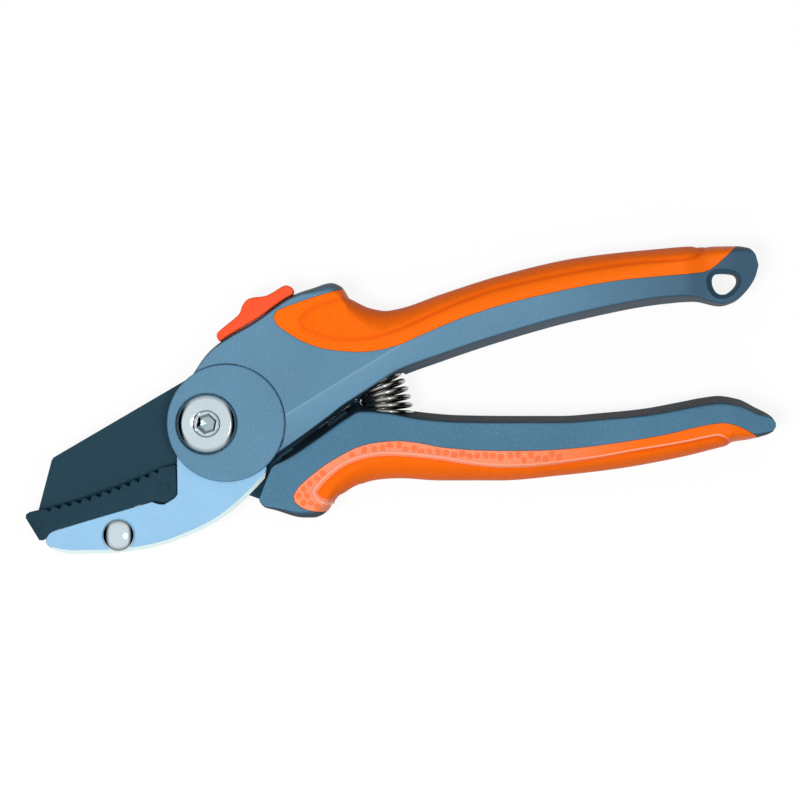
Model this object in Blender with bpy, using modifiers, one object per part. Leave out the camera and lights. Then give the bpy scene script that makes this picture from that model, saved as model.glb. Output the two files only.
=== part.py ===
"""Anvil secateurs, closed, lying flat: two overmoulded handles on one pivot.

The pivot axis is the Z axis and the flat end of the pivot nut lies on Z = 0. X runs along the handles and
Y points from the lower handle to the upper one. The lower handle carries the blade, and the upper handle
carries the two anvil plates and the anvil insert.
"""

import math

import bmesh
import bpy
from mathutils import Matrix, Vector

MM = 0.001

# Driving sizes, in millimetres.
HANDLE_REACH = 158.7        # pivot to the lower handle's tip, along X
UPPER_SHORTFALL = 4.9       # how much shorter the upper handle ends
JAW_REACH = 56.4            # pivot to the anvil insert's nose, along the jaw
GRIP_HALF = 9.5             # half thickness of both handles where the hand holds
HEAD_HALF = 6.4             # half thickness of the upper handle's head
HEEL_HALF = 6.8             # half thickness of the lower handle's front end
BLADE_THICK = 3.0
WASHER_THICK = 0.3
ARM_THICK = 2.5
DISC_THICK = 2.3
DISC_R = 16.4
DISC_RIM = 2.3              # least width of the disc round the bolt's head
BOLT_R = 4.0
BUSH_WALL = 0.9
BOLT_HEAD_R = 8.4
BOLT_HEAD_RISE = 0.4        # bolt head above the disc
BOLT_SHOULDER = [(1.4, 0.0), (0.5, 0.4), (0.0, 1.3)]    # rounded rim, as (inset, drop)
BOLT_TAIL = 0.6             # bolt beyond the rear plate
HEX_R = 3.2
HEX_DEEP = 2.6
WASHER_R = 9.0
OPEN_ANGLE = 25.0           # how far the handles open, in degrees
LOCK_TRAVEL = 4.0
SPRING_WIRE = 1.1
SPRING_TURNS = 6.0
PIN_R = 2.0
TANG_PIN_HALF = 4.6
INSERT_PIN_R = 1.2
RIVET_R = 2.5
RIVET_HEAD_R = 4.6
RIVET_DOME = 1.9
GRIP_SKIN = 1.6             # soft grip thickness on the faces
GRIP_BACK = 2.0             # soft grip thickness on the palm side
GAP = 0.3                   # room between pieces that touch
PLAY = 0.2                  # room between the plates of the pivot stack
SIDES = 40                  # facets of a large round piece

# Heights above the blade's middle plane, worked out from the stack.
BLADE_HALF = BLADE_THICK / 2
WASHER_IN = BLADE_HALF + PLAY
ARM_IN = WASHER_IN + WASHER_THICK + PLAY
ARM_OUT = ARM_IN + ARM_THICK
DISC_IN = ARM_OUT + PLAY
DISC_OUT = DISC_IN + DISC_THICK
STACK_HALF = DISC_OUT + BOLT_HEAD_RISE
DISC_OFFSET = (DISC_R - BOLT_HEAD_R - GAP - DISC_RIM, 0.2)      # disc centre from the pivot
BUSH_R = BOLT_R + PLAY / 2 + BUSH_WALL
THROUGH = STACK_HALF + GAP  # half length of a cutter that leaves the stack on both sides

# Jaw frame: u runs from the pivot along the anvil to its nose, v towards the blade's back.
JAW_TILT = math.radians(199.5)
JAW_DESIGN_REACH = 56.4
JAW_FIXED = 14.0            # the jaw keeps its shape up to here and stretches beyond
GROOVE_FROM = 14.2
GROOVE_TO = 53.3
GROOVE_FLOOR = -11.0
GROOVE_BELLY = 1.0          # how much deeper the anvil is halfway along
BLADE_EDGE_CLEAR = 0.3
LIP_HEIGHT = 3.8            # serrated lip above the groove's floor
NOTCHES = 12
NOTCH_FROM = 17.6
NOTCH_TO = 49.4
NOTCH_DEPTH = 1.2
GRIND_WIDTH = 4.2           # ground bevel of the cutting edge
GRIND_LAND = 0.15           # half thickness left at the edge
ROOT_R = 9.8                # blade's rim round the pivot
LUG_R = 13.6                # locking lug on that rim
LUG_FROM = 59.0
LUG_TO = 65.0

# Lock frame: s along the slide, n square to it, both from the pivot.
SLIDE_ANGLE = math.radians(32.0)
CATCH_TIP = 14.3
CATCH_END = 30.0
CATCH_STEM = 22.0
CATCH_LOW = 2.2
CATCH_TOOTH = 2.6
CATCH_TOP = 20.6
STEM_FROM = 14.0            # lower end of the slider's slot for the catch
SLIDER_HALF = 4.5
LOCK_PIN_R = 1.0
LOCK_PIN_AT = (26.0, 19.4)

# Spring seats: the coil fans out from an apex between two tilted seats.
SPRING_APEX = (29.8, 2.95)
SPRING_OUT = 20.4           # apex to the coil's middle
SPRING_R_LOW = 6.9
SPRING_R_HIGH = 5.9
SPRING_SPREAD = 30.0        # angle between the seats, in degrees
SEAT_ROOM = 0.35
POCKET_DEPTH = 14.0         # longer than the handle is wide, so that a pocket opens on the gap side

HEEL_SLOT_R = 27.2          # slot in the lower handle for the anvil plates' heel
BUMPER_SIZE = (6.6, 2.6, 10.0)
TANG_NECK = [(10.0, -8.0), (20.5, -10.2)]
BUMPER_X = 36.8
BUMPER_ANGLE = math.radians(36.5)

HANDLE_FIXED = 60.0         # handles keep their shape up to here and stretch beyond
LOWER_DESIGN_TIP = 158.7
UPPER_DESIGN_TIP = 153.8

# Handle guides, (x, y) in millimetres: the palm side and the gap side at the parting plane.
UPPER_PALM = [(-4.6, 13.0), (-0.1, 19.5), (3.6, 22.8), (13.6, 28.9), (24.0, 36.0), (29.4, 37.9),
              (34.7, 39.4), (37.4, 38.4), (39.8, 35.2), (42.5, 33.5), (46.0, 32.1), (49.8, 31.5),
              (54.0, 32.2), (65.0, 36.0), (82.0, 41.4), (104.0, 46.4), (127.0, 48.9), (148.0, 49.7),
              (151.4, 49.2), (153.2, 47.4), (153.8, 45.0)]
UPPER_GAP = [(-4.6, -2.0), (14.0, -12.9), (20.8, -8.65), (33.1, 0.15), (39.0, 4.6), (48.6, 10.2),
             (53.9, 13.1), (65.0, 17.2), (82.0, 22.9), (104.0, 29.0), (127.0, 33.4), (136.0, 34.1),
             (143.3, 32.8), (147.0, 33.8), (150.4, 36.6), (152.9, 40.4), (153.8, 43.6)]
LOWER_PALM = [(14.7, -21.7), (15.9, -23.3), (19.0, -24.2), (27.1, -26.3), (29.7, -26.3), (31.8, -25.7),
              (34.0, -24.0), (35.0, -22.4), (37.4, -19.9), (42.7, -16.9), (48.3, -15.5), (53.9, -15.2),
              (65.0, -15.8), (82.0, -15.8), (98.7, -14.4), (115.5, -12.4), (132.3, -9.3), (143.5, -6.5),
              (151.5, -4.4), (155.5, -3.4), (158.2, -2.2), (158.7, -1.2)]
LOWER_GAP = [(14.7, -20.7), (18.1, -12.4), (20.0, -9.7), (33.1, -0.95), (40.5, 3.9), (44.0, 5.3),
             (47.0, 5.4), (51.6, 4.8), (59.5, 3.3), (70.7, 2.4), (85.0, 2.2), (98.7, 2.2), (109.9, 3.0),
             (121.1, 4.1), (132.3, 6.1), (137.9, 7.2), (142.9, 7.8), (148.5, 6.9), (153.0, 4.7),
             (158.2, 1.7), (158.7, 0.6)]

# Share of the grip thickness gained over the front end, and lost towards the tip, along x.
UPPER_SWELL = [(-4.6, 0.0), (22.0, 0.0), (40.0, 0.9), (58.0, 1.0), (132.0, 1.0), (140.0, 0.15),
               (147.0, -0.1), (153.8, -0.5)]
LOWER_SWELL = [(14.7, 0.0), (22.0, 0.0), (40.0, 0.9), (58.0, 1.0), (144.0, 1.0), (152.0, 0.2),
               (158.7, -0.8)]
UPPER_ROUND = [(-4.6, 1.0), (24.0, 1.2), (34.0, 3.0), (42.0, 5.5), (50.0, 7.5), (110.0, 7.0), (136.0, 4.0),
               (148.0, 2.0), (153.8, 0.6)]
LOWER_ROUND = [(14.7, 0.3), (22.0, 1.6), (30.0, 3.0), (36.0, 6.0), (50.0, 7.5), (110.0, 6.5), (140.0, 4.5),
               (152.0, 2.0), (158.7, 0.5)]
UPPER_BEVEL = [(-4.6, 1.45), (40.0, 1.45), (54.0, 2.4), (104.0, 2.3), (130.0, 2.0), (140.0, 1.0),
               (153.8, 0.4)]
LOWER_BEVEL = [(14.7, 0.3), (18.1, 1.45), (40.0, 1.45), (50.0, 2.1), (104.0, 1.8), (143.0, 2.3),
               (153.0, 2.0), (158.7, 0.4)]

# Where the soft grips show on the faces; the last points lie outside the handle.
UPPER_GRIP_EDGE = [(18.7, 29.7), (19.4, 27.9), (21.4, 26.2), (25.9, 23.4), (31.5, 21.2), (37.1, 20.3),
                   (42.7, 20.0), (48.3, 20.6), (53.9, 22.1), (59.5, 24.6), (70.7, 29.3), (81.9, 33.0),
                   (93.1, 35.8), (104.3, 38.2), (115.5, 40.0), (126.7, 41.1), (137.9, 42.2), (140.8, 43.4),
                   (143.5, 45.6), (148.4, 50.2), (149.0, 56.0), (42.0, 56.0), (41.0, 38.6), (37.4, 37.4),
                   (30.0, 35.3), (21.4, 32.3), (19.4, 31.2)]
LOWER_GRIP_EDGE = [(24.2, -20.0), (24.6, -21.8), (27.1, -23.6), (31.2, -24.5), (34.6, -24.4),
                   (36.0, -32.0), (155.0, -32.0), (155.4, -5.2), (153.6, -3.7), (149.1, -1.2),
                   (146.2, -0.2), (143.5, 0.2), (137.9, -0.6), (126.7, -3.2), (115.5, -5.1),
                   (104.3, -6.6), (93.1, -7.4), (76.3, -7.4), (65.1, -6.5), (59.5, -5.4), (53.9, -4.8),
                   (48.3, -5.1), (42.7, -6.3), (37.1, -9.0), (31.5, -12.6), (25.9, -17.4)]
HANG_HOLE = [(140.8, 39.6), (141.3, 37.6), (142.6, 36.2), (144.9, 36.2), (147.0, 37.5), (148.3, 39.4),
             (148.1, 41.0), (146.8, 41.8), (142.6, 41.9), (141.2, 41.1)]
SLIDER_TOP = [(24.2, 36.9), (23.8, 37.9), (22.4, 38.6), (21.2, 38.4), (16.6, 35.8), (12.6, 35.2),
              (11.0, 34.5), (9.7, 32.6), (9.2, 31.0), (7.9, 29.6), (3.4, 25.9), (2.7, 24.9), (3.1, 23.4)]
ARM_HEEL = [(4.0, -26.4), (11.5, -20.1), (16.2, -15.2), (17.6, -12.9)]
ARM_ROOT = [(19.0, -7.4), (26.5, -0.6), (34.0, 7.0), (35.0, 16.0), (32.0, 22.0), (22.0, 23.0),
            (12.0, 18.2), (5.0, 14.6), (-2.0, 13.0), (-6.5, 9.0), (-8.0, 2.0)]
ARM_PINS = [(28.0, 5.6), (31.0, 17.4)]
TANG = [(26.0, -6.9), (33.0, -4.0), (45.0, -1.0), (60.0, -2.0), (61.0, -4.5), (60.0, -7.0), (45.0, -8.4),
        (36.0, -12.0), (24.0, -20.6), (14.7, -21.1), (10.6, -19.6)]
TANG_PINS = [(33.0, -9.6), (52.0, -4.8)]


def curve_through(points):
    """A smooth y(x) through points sorted by x, which doesn't overshoot between them."""
    xs = [p[0] for p in points]
    ys = [p[1] for p in points]
    steps = [(ys[i + 1] - ys[i]) / (xs[i + 1] - xs[i]) for i in range(len(xs) - 1)]
    slopes = [steps[0]]
    for before, after in zip(steps, steps[1:]):
        flat = before * after <= 0
        slopes.append(0.0 if flat else 2 * before * after / (before + after))
    slopes.append(steps[-1])

    def value(x):
        x = min(max(x, xs[0]), xs[-1])
        i = max(k for k in range(len(xs) - 1) if x >= xs[k])
        h = xs[i + 1] - xs[i]
        t = (x - xs[i]) / h
        return ((1 + 2 * t) * (1 - t) ** 2 * ys[i] + t * (1 - t) ** 2 * h * slopes[i]
                + t * t * (3 - 2 * t) * ys[i + 1] + t * t * (t - 1) * h * slopes[i + 1])

    return value


def stretched(x, fixed, tip, reach):
    """x moved so that the stretch from fixed to tip ends at reach."""
    if x <= fixed:
        return x
    return fixed + (x - fixed) * (reach - fixed) / (tip - fixed)


def jaw(u, v):
    """A point of the jaw frame in the object's X and Y."""
    u = stretched(u, JAW_FIXED, JAW_DESIGN_REACH, JAW_REACH)
    cos, sin = math.cos(JAW_TILT), math.sin(JAW_TILT)
    return (u * cos + v * sin, u * sin - v * cos)


def slide(s, n):
    """A point of the lock frame in the object's X and Y."""
    cos, sin = math.cos(SLIDE_ANGLE), math.sin(SLIDE_ANGLE)
    return (s * cos - n * sin, s * sin + n * cos)


def polar(radius, degrees):
    return (radius * math.cos(math.radians(degrees)), radius * math.sin(math.radians(degrees)))


def arc(radius, start, end, count, centre=(0.0, 0.0)):
    """Points on an arc about centre, from start to end degrees."""
    points = []
    for i in range(count):
        x, y = polar(radius, start + (end - start) * i / (count - 1))
        points.append((centre[0] + x, centre[1] + y))
    return points


def area(points):
    pairs = zip(points, points[1:] + points[:1])
    return sum(a[0] * b[1] - b[0] * a[1] for a, b in pairs) / 2


def grown(points, distance):
    """The outline moved outwards by distance, square to its edges."""
    side = 1 if area(points) > 0 else -1
    moved = []
    for before, here, after in zip(points[-1:] + points[:-1], points, points[1:] + points[:1]):
        one = (Vector(here) - Vector(before)).normalized()
        two = (Vector(after) - Vector(here)).normalized()
        normal_one = Vector((one.y, -one.x)) * side
        normal_two = Vector((two.y, -two.x)) * side
        middle = (normal_one + normal_two).normalized()
        reach = distance / max(middle.dot(normal_one), 0.5)
        moved.append((here[0] + middle.x * reach, here[1] + middle.y * reach))
    return moved


# Scene and materials.

def clear_scene():
    for thing in list(bpy.data.objects):
        bpy.data.objects.remove(thing, do_unlink=True)
    parts = bpy.data.collections.new("anvil_secateurs")
    cutters = bpy.data.collections.new("cutters")
    bpy.context.scene.collection.children.link(parts)
    bpy.context.scene.collection.children.link(cutters)
    return parts, cutters


PARTS, CUTTERS = clear_scene()


def make_material(name, colour, roughness, metallic=0.0):
    material = bpy.data.materials.new(name)
    material.use_nodes = True
    shader = material.node_tree.nodes["Principled BSDF"]
    shader.inputs["Base Color"].default_value = (*colour, 1.0)
    shader.inputs["Roughness"].default_value = roughness
    shader.inputs["Metallic"].default_value = metallic
    return material


SLATE = make_material("slate_plastic", (0.115, 0.245, 0.355), 0.6)
ORANGE = make_material("orange_soft_grip", (1.0, 0.130, 0.007), 0.5)
RED = make_material("red_lock", (1.0, 0.105, 0.030), 0.4)
COATED = make_material("coated_blade", (0.028, 0.055, 0.080), 0.35, 0.4)
NYLON = make_material("anvil_nylon", (0.030, 0.065, 0.095), 0.55)
SATIN = make_material("satin_steel", (0.62, 0.72, 0.78), 0.35, 0.9)
CHROME = make_material("chrome", (0.80, 0.82, 0.82), 0.12, 1.0)
STEEL = make_material("pin_steel", (0.55, 0.56, 0.57), 0.35, 1.0)
SPRING_STEEL = make_material("spring_steel", (0.16, 0.16, 0.15), 0.25, 1.0)
RUBBER = make_material("bumper_rubber", (0.02, 0.03, 0.04), 0.8)
BRONZE = make_material("bronze", (0.55, 0.36, 0.18), 0.4, 1.0)
WHITE_PLASTIC = make_material("washer_plastic", (0.75, 0.75, 0.72), 0.5)


def make_frame(name):
    """An empty on the pivot axis, at the blade's middle plane."""
    frame = bpy.data.objects.new(name, None)
    frame.location = (0.0, 0.0, STACK_HALF * MM)
    PARTS.objects.link(frame)
    return frame


UPPER_FRAME = make_frame("upper_handle_frame")
LOWER_FRAME = make_frame("lower_handle_frame")
LOCK_FRAME = make_frame("lock_frame")


def finish(mesh_object, material, frame, smooth=False):
    """Gives a part its material, parent and shading."""
    mesh_object.data.materials.clear()
    mesh_object.data.materials.append(material)
    mesh_object.parent = frame
    if smooth:
        mesh_object.data.shade_smooth()
        mesh_object.data.set_sharp_from_angle(angle=math.radians(35))
    return mesh_object


def as_cutter(mesh_object):
    """Moves a solid to the cutters, out of the render."""
    for collection in list(mesh_object.users_collection):
        collection.objects.unlink(mesh_object)
    CUTTERS.objects.link(mesh_object)
    mesh_object.display_type = "WIRE"
    mesh_object.hide_render = True
    mesh_object.parent = UPPER_FRAME
    return mesh_object


def boolean(target, other, operation="DIFFERENCE"):
    modifier = target.modifiers.new(f"{operation.lower()}_{other.name}", "BOOLEAN")
    modifier.operation = operation
    modifier.solver = "EXACT"
    modifier.object = other


def mesh_object_from(name, mesh):
    made = bpy.data.objects.new(name, mesh)
    PARTS.objects.link(made)
    return made


def plate(name, outline, low, high, bevel=0.0):
    """A flat outline, in millimetres, filled and extruded from height low to height high."""
    curve = bpy.data.curves.new(name, "CURVE")
    curve.dimensions = "2D"
    curve.fill_mode = "BOTH"
    curve.extrude = (high - low) / 2 * MM
    spline = curve.splines.new("POLY")
    spline.points.add(len(outline) - 1)
    for point, (x, y) in zip(spline.points, outline):
        point.co = (x * MM, y * MM, 0.0, 1.0)
    spline.use_cyclic_u = True
    guide = bpy.data.objects.new(name, curve)
    PARTS.objects.link(guide)
    depsgraph = bpy.context.evaluated_depsgraph_get()
    mesh = bpy.data.meshes.new_from_object(guide.evaluated_get(depsgraph))
    bpy.data.objects.remove(guide, do_unlink=True)
    form = bmesh.new()
    form.from_mesh(mesh)
    bmesh.ops.remove_doubles(form, verts=form.verts, dist=1e-6)
    bmesh.ops.dissolve_limit(form, angle_limit=0.01, verts=form.verts, edges=form.edges)
    bmesh.ops.translate(form, verts=form.verts, vec=(0.0, 0.0, (low + high) / 2 * MM))
    bmesh.ops.recalc_face_normals(form, faces=form.faces)
    form.to_mesh(mesh)
    form.free()
    made = mesh_object_from(name, mesh)
    if bevel:
        rounding = made.modifiers.new("edges", "BEVEL")
        rounding.width = bevel * MM
        rounding.segments = 1
        rounding.limit_method = "ANGLE"
        rounding.angle_limit = math.radians(50)
    return made


def turned(name, profile, sides=SIDES, at=(0.0, 0.0)):
    """A closed solid of revolution about Z; the profile runs (radius, height) from its top to its bottom."""
    mesh = bpy.data.meshes.new(name)
    form = bmesh.new()
    points = [form.verts.new((radius * MM, 0.0, height * MM)) for radius, height in profile]
    for one, two in zip(points, points[1:]):
        form.edges.new((one, two))
    form.to_mesh(mesh)
    form.free()
    made = mesh_object_from(name, mesh)
    made.location = (at[0] * MM, at[1] * MM, 0.0)
    screw = made.modifiers.new("turn", "SCREW")
    screw.steps = sides
    screw.render_steps = sides
    screw.use_merge_vertices = True
    screw.merge_threshold = 1e-6
    return made


def drum(name, radius, low, high, at=(0.0, 0.0), sides=SIDES):
    """A plain cylinder along Z."""
    return turned(name, [(0, high), (radius, high), (radius, low), (0, low)], sides, at)


def ring(name, outer, inner, low, high, at=(0.0, 0.0), sides=SIDES):
    """A washer or sleeve along Z."""
    profile = [(outer, high), (outer, low), (inner, low), (inner, high), (outer, high)]
    return turned(name, profile, sides, at)


def tilted_drum(name, radius, length, at, degrees):
    """A cylinder that lies in the parting plane and points along degrees from X."""
    mesh = bpy.data.meshes.new(name)
    form = bmesh.new()
    turn = Matrix.Rotation(math.radians(degrees), 4, "Z") @ Matrix.Rotation(math.radians(90), 4, "Y")
    middle = polar(length / 2, degrees)
    place = Matrix.Translation(Vector(((at[0] + middle[0]) * MM, (at[1] + middle[1]) * MM, 0.0)))
    bmesh.ops.create_cone(form, cap_ends=True, segments=28, radius1=radius * MM, radius2=radius * MM,
                          depth=length * MM, matrix=place @ turn)
    form.to_mesh(mesh)
    form.free()
    return mesh_object_from(name, mesh)


def loft(name, rings):
    """A skin over rings of equal point counts, closed by a flat cap at each end."""
    mesh = bpy.data.meshes.new(name)
    form = bmesh.new()
    rows = [[form.verts.new([c * MM for c in point]) for point in one] for one in rings]
    for row, after in zip(rows, rows[1:]):
        for i in range(len(row)):
            j = (i + 1) % len(row)
            form.faces.new((row[i], row[j], after[j], after[i]))
    form.faces.new(rows[0])
    form.faces.new(rows[-1])
    bmesh.ops.recalc_face_normals(form, faces=form.faces)
    form.to_mesh(mesh)
    form.free()
    return mesh_object_from(name, mesh)


class Handle:
    """The guides of one handle, and the solids lofted from them."""

    def __init__(self, palm, gap, swell, rounding, bevel, thin_half, design_tip, reach, side):
        self.palm = curve_through(palm)
        self.gap = curve_through(gap)
        self.swell = curve_through(swell)
        self.rounding = curve_through(rounding)
        self.bevel = curve_through(bevel)
        self.thin_half = thin_half
        self.tip = design_tip
        self.reach = reach
        self.side = side
        self.stations = sorted({round(p[0], 3) for p in palm + gap})

    def half(self, x):
        """Half thickness at x."""
        return self.thin_half + (GRIP_HALF - self.thin_half) * self.swell(x)

    def place(self, point):
        return (stretched(point[0], HANDLE_FIXED, self.tip, self.reach), point[1])

    def section(self, x, skin, back):
        """One closed ring at x, set in from the faces by skin and from the palm side by back."""
        side = self.side
        palm = self.palm(x) - side * back
        gap = self.gap(x) + side * skin * 0.5
        half = self.half(x) - skin
        room = abs(palm - gap)
        bevel = min(self.bevel(x), room * 0.3)
        rounding = min(self.rounding(x), room * 0.6)
        front = [(gap, 0.0), (gap + side * bevel * 0.85, half * 0.93), (gap + side * bevel * 1.15, half)]
        for i in range(5):
            angle = math.radians(90 - 22.5 * i)
            front.append((palm - side * rounding * (1 - math.cos(angle)), half * math.sin(angle)))
        front[-1] = (palm, 0.0)
        along = stretched(x, HANDLE_FIXED, self.tip, self.reach)
        back_half = [(y, -z) for y, z in reversed(front[1:-1])]
        return [(along, y, z) for y, z in front + back_half]

    def solid(self, name, skin=0.0, back=0.0):
        ends = (self.stations[0], self.stations[-1])
        span = ends[1] - ends[0]
        stations = [x for x in self.stations if ends[0] < x < ends[1]]
        inset = min(skin, span * 0.01)
        rows = [ends[0] + inset] + [x for x in stations if ends[0] + inset < x < ends[1] - inset]
        rows.append(ends[1] - inset)
        return loft(name, [self.section(x, skin, back) for x in rows])

    def outline(self, points):
        return [self.place(p) for p in points]


UPPER = Handle(UPPER_PALM, UPPER_GAP, UPPER_SWELL, UPPER_ROUND, UPPER_BEVEL, HEAD_HALF, UPPER_DESIGN_TIP,
               HANDLE_REACH - UPPER_SHORTFALL, 1)
LOWER = Handle(LOWER_PALM, LOWER_GAP, LOWER_SWELL, LOWER_ROUND, LOWER_BEVEL, HEEL_HALF, LOWER_DESIGN_TIP,
               HANDLE_REACH, -1)


def handle_with_grip(handle, frame, names, grip_edge):
    """Body and soft grip of one handle: the grip wraps the body's core and shows inside grip_edge."""
    body_name, grip_name = names
    deep = GRIP_HALF * 1.5
    edge = handle.outline(grip_edge)
    bed = as_cutter(plate(f"{grip_name}_bed", grown(edge, GAP), -deep, deep))
    core = as_cutter(handle.solid(f"{body_name}_core", GRIP_SKIN + GAP, GRIP_BACK + GAP))
    boolean(bed, core)
    body = handle.solid(body_name)
    boolean(body, bed)
    grip = handle.solid(grip_name)
    boolean(grip, as_cutter(plate(f"{grip_name}_area", edge, -deep, deep)), "INTERSECT")
    boolean(grip, as_cutter(handle.solid(f"{grip_name}_inside", GRIP_SKIN, GRIP_BACK)))
    finish(body, SLATE, frame, smooth=True)
    finish(grip, ORANGE, frame, smooth=True)
    return body, grip


# Jaw pieces.

def groove_floor(u):
    """Height v of the anvil groove's floor at u."""
    middle = (NOTCH_FROM + NOTCH_TO) / 2
    half = (NOTCH_TO - NOTCH_FROM) / 2
    return GROOVE_FLOOR - GROOVE_BELLY * (1 - ((u - middle) / half) ** 2)


def lip_top(u):
    return groove_floor(u) + LIP_HEIGHT


def serrated_lip():
    """The lip's top edge, from the heel to the nose, with a V cut for each notch."""
    points = []
    pitch = (NOTCH_TO - NOTCH_FROM) / (NOTCHES - 1)
    for i in range(NOTCHES):
        u = NOTCH_FROM + i * pitch
        points.append(jaw(u - pitch * 0.42, lip_top(u)))
        points.append(jaw(u, lip_top(u) - NOTCH_DEPTH))
        points.append(jaw(u + pitch * 0.42, lip_top(u)))
    return points


def anvil_outline():
    nose = [(54.9, -6.7), (56.0, -7.0), (56.4, -7.9), (54.9, -15.0), (53.9, -15.4), (52.4, -14.2),
            (50.4, -13.6)]
    heel = [(21.6, -14.9), (20.5, -15.4), (18.9, -16.6), (17.4, -16.9), (14.9, -16.2), (14.3, -15.3),
            (12.0, -7.8)]
    return serrated_lip() + [jaw(u, v) for u, v in nose] + [jaw(u, v) for u, v in heel]


RIVET_AT = jaw(33.6, -21.1)
INSERT_PINS = [jaw(17.2, -12.9), jaw(53.9, -10.6)]


def make_anvil_insert():
    insert = plate("anvil_insert", anvil_outline(), -ARM_OUT, ARM_OUT)
    floor = [jaw(u, groove_floor(u)) for u in (GROOVE_FROM, 20.0, 27.0, 33.5, 40.0, 47.0, GROOVE_TO)]
    groove = floor + [jaw(GROOVE_TO, 5.0), jaw(GROOVE_FROM - 6.0, 5.0), jaw(GROOVE_FROM - 6.0, -9.0)]
    tongue = [jaw(27.0, -13.0), jaw(40.0, -13.0), jaw(39.0, -23.4), jaw(28.0, -23.8)]
    tongue_half = ARM_IN - GAP
    boolean(insert, as_cutter(plate("insert_tongue", tongue, -tongue_half, tongue_half)), "UNION")
    boolean(insert, as_cutter(plate("insert_groove", groove, -BLADE_HALF - GAP, BLADE_HALF + GAP)))
    boolean(insert, as_cutter(drum("insert_rivet_hole", RIVET_R + GAP, -THROUGH, THROUGH, RIVET_AT, 20)))
    for i, at in enumerate(INSERT_PINS):
        hole = drum(f"insert_pin_hole_{i + 1}", INSERT_PIN_R + GAP, -THROUGH, THROUGH, at, 16)
        boolean(insert, as_cutter(hole))
    return finish(insert, NYLON, UPPER_FRAME)


def arm_outline():
    """One anvil plate: the seat under the insert, the belly, the heel and the root inside the head."""
    seat = [jaw(10.7, -5.34), jaw(14.27, -15.74), jaw(15.39, -16.51), jaw(18.73, -17.24), jaw(20.2, -16.61),
            jaw(21.7, -15.44)]
    under = [jaw(50.6, -14.0), jaw(52.2, -14.6), jaw(53.2, -15.7)]
    nose = [jaw(53.2, -16.9), jaw(51.6, -19.2), jaw(48.6, -21.2)]
    belly = [jaw(44.1, -22.8), jaw(35.0, -25.7), jaw(24.5, -27.6), jaw(14.6, -27.6)]
    return seat + under + nose + belly + ARM_HEEL + ARM_ROOT


def make_arm(name, low, high):
    arm = plate(name, arm_outline(), low, high, bevel=0.35)
    boolean(arm, as_cutter(drum(f"{name}_bolt_hole", BUSH_R + GAP, low - 1, high + 1)))
    boolean(arm, as_cutter(drum(f"{name}_rivet_hole", RIVET_R + GAP, low - 1, high + 1, RIVET_AT, 20)))
    for i, at in enumerate(ARM_PINS):
        boolean(arm, as_cutter(drum(f"{name}_pin_hole_{i + 1}", PIN_R + GAP, low - 1, high + 1, at, 16)))
    return finish(arm, SATIN, UPPER_FRAME)


def blade_outline():
    edge = [jaw(u, groove_floor(u) + BLADE_EDGE_CLEAR) for u in (15.0, 20.0, 27.0, 33.5, 40.0, 47.0, 52.7)]
    nose = [jaw(52.5, -6.9), jaw(44.4, 5.0), jaw(43.6, 5.5)]
    back = [(-5.4, 12.6), (-2.6, 12.4)]
    rim = arc(ROOT_R, 95, LUG_TO + 3, 5)
    lug = [polar(LUG_R, LUG_TO), polar(LUG_R, LUG_FROM)]
    shoulder = arc(ROOT_R, LUG_FROM - 1, -25, 9)
    tang_top = [(17.2, -12.3)]
    heel = arc(LUG_R, -68, -124, 6)
    return edge + nose + back + rim + lug + shoulder + tang_top + TANG + heel


def grinding_wedge(name, sign):
    """A wedge that grinds one side of the cutting edge."""
    far = ARM_OUT * 2
    start = Vector(jaw(8.0, GROOVE_FLOOR))
    end = Vector(jaw(JAW_DESIGN_REACH + 4, GROOVE_FLOOR))
    across = (Vector(jaw(8.0, GROOVE_FLOOR + 1)) - start).normalized()
    slope = (BLADE_HALF - GRIND_LAND) / GRIND_WIDTH
    base = -GROOVE_BELLY + BLADE_EDGE_CLEAR
    low, high = base - 3.0, base + GRIND_WIDTH + 1.0

    def height(v):
        return GRIND_LAND + slope * (v - base)

    rings = []
    for point in (start, end):
        corners = []
        for v, z in ((low, height(low)), (high, height(high)), (high, far), (low, far)):
            spot = point + across * v
            corners.append((spot.x, spot.y, sign * z))
        rings.append(corners)
    return as_cutter(loft(name, rings))


def make_blade():
    blade = plate("blade", blade_outline(), -BLADE_HALF, BLADE_HALF)
    boolean(blade, grinding_wedge("front_grind", 1))
    boolean(blade, grinding_wedge("rear_grind", -1))
    boolean(blade, as_cutter(drum("blade_bore", BUSH_R + GAP, -THROUGH, THROUGH)))
    for i, at in enumerate(TANG_PINS):
        boolean(blade, as_cutter(drum(f"tang_hole_{i + 1}", PIN_R + GAP, -THROUGH, THROUGH, at, 16)))
    return finish(blade, COATED, LOWER_FRAME)


def make_pins(name, radius, half, places, frame, sides=16):
    """Identical pins, one numbered object for each place."""
    for i, at in enumerate(places):
        pin = drum(f"{name}_{i + 1}", radius, -half, half, at, sides)
        finish(pin, STEEL, frame, smooth=True)


def dome(radius, base, rise, steps=4):
    """Profile points of a shallow dome, from its top to its rim."""
    points = []
    for i in range(steps + 1):
        angle = math.radians(90 * i / steps)
        points.append((radius * math.sin(angle), base + rise * math.cos(angle)))
    return points


def make_anvil_rivet():
    seat = ARM_OUT + PLAY
    top = dome(RIVET_HEAD_R, seat, RIVET_DOME)
    bottom = [(radius, -height) for radius, height in reversed(top)]
    shank = [(RIVET_R, seat), (RIVET_R, -seat)]
    rivet = turned("anvil_rivet", top + shank + bottom, 24, RIVET_AT)
    return finish(rivet, CHROME, UPPER_FRAME, smooth=True)


# Pivot pieces.

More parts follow.
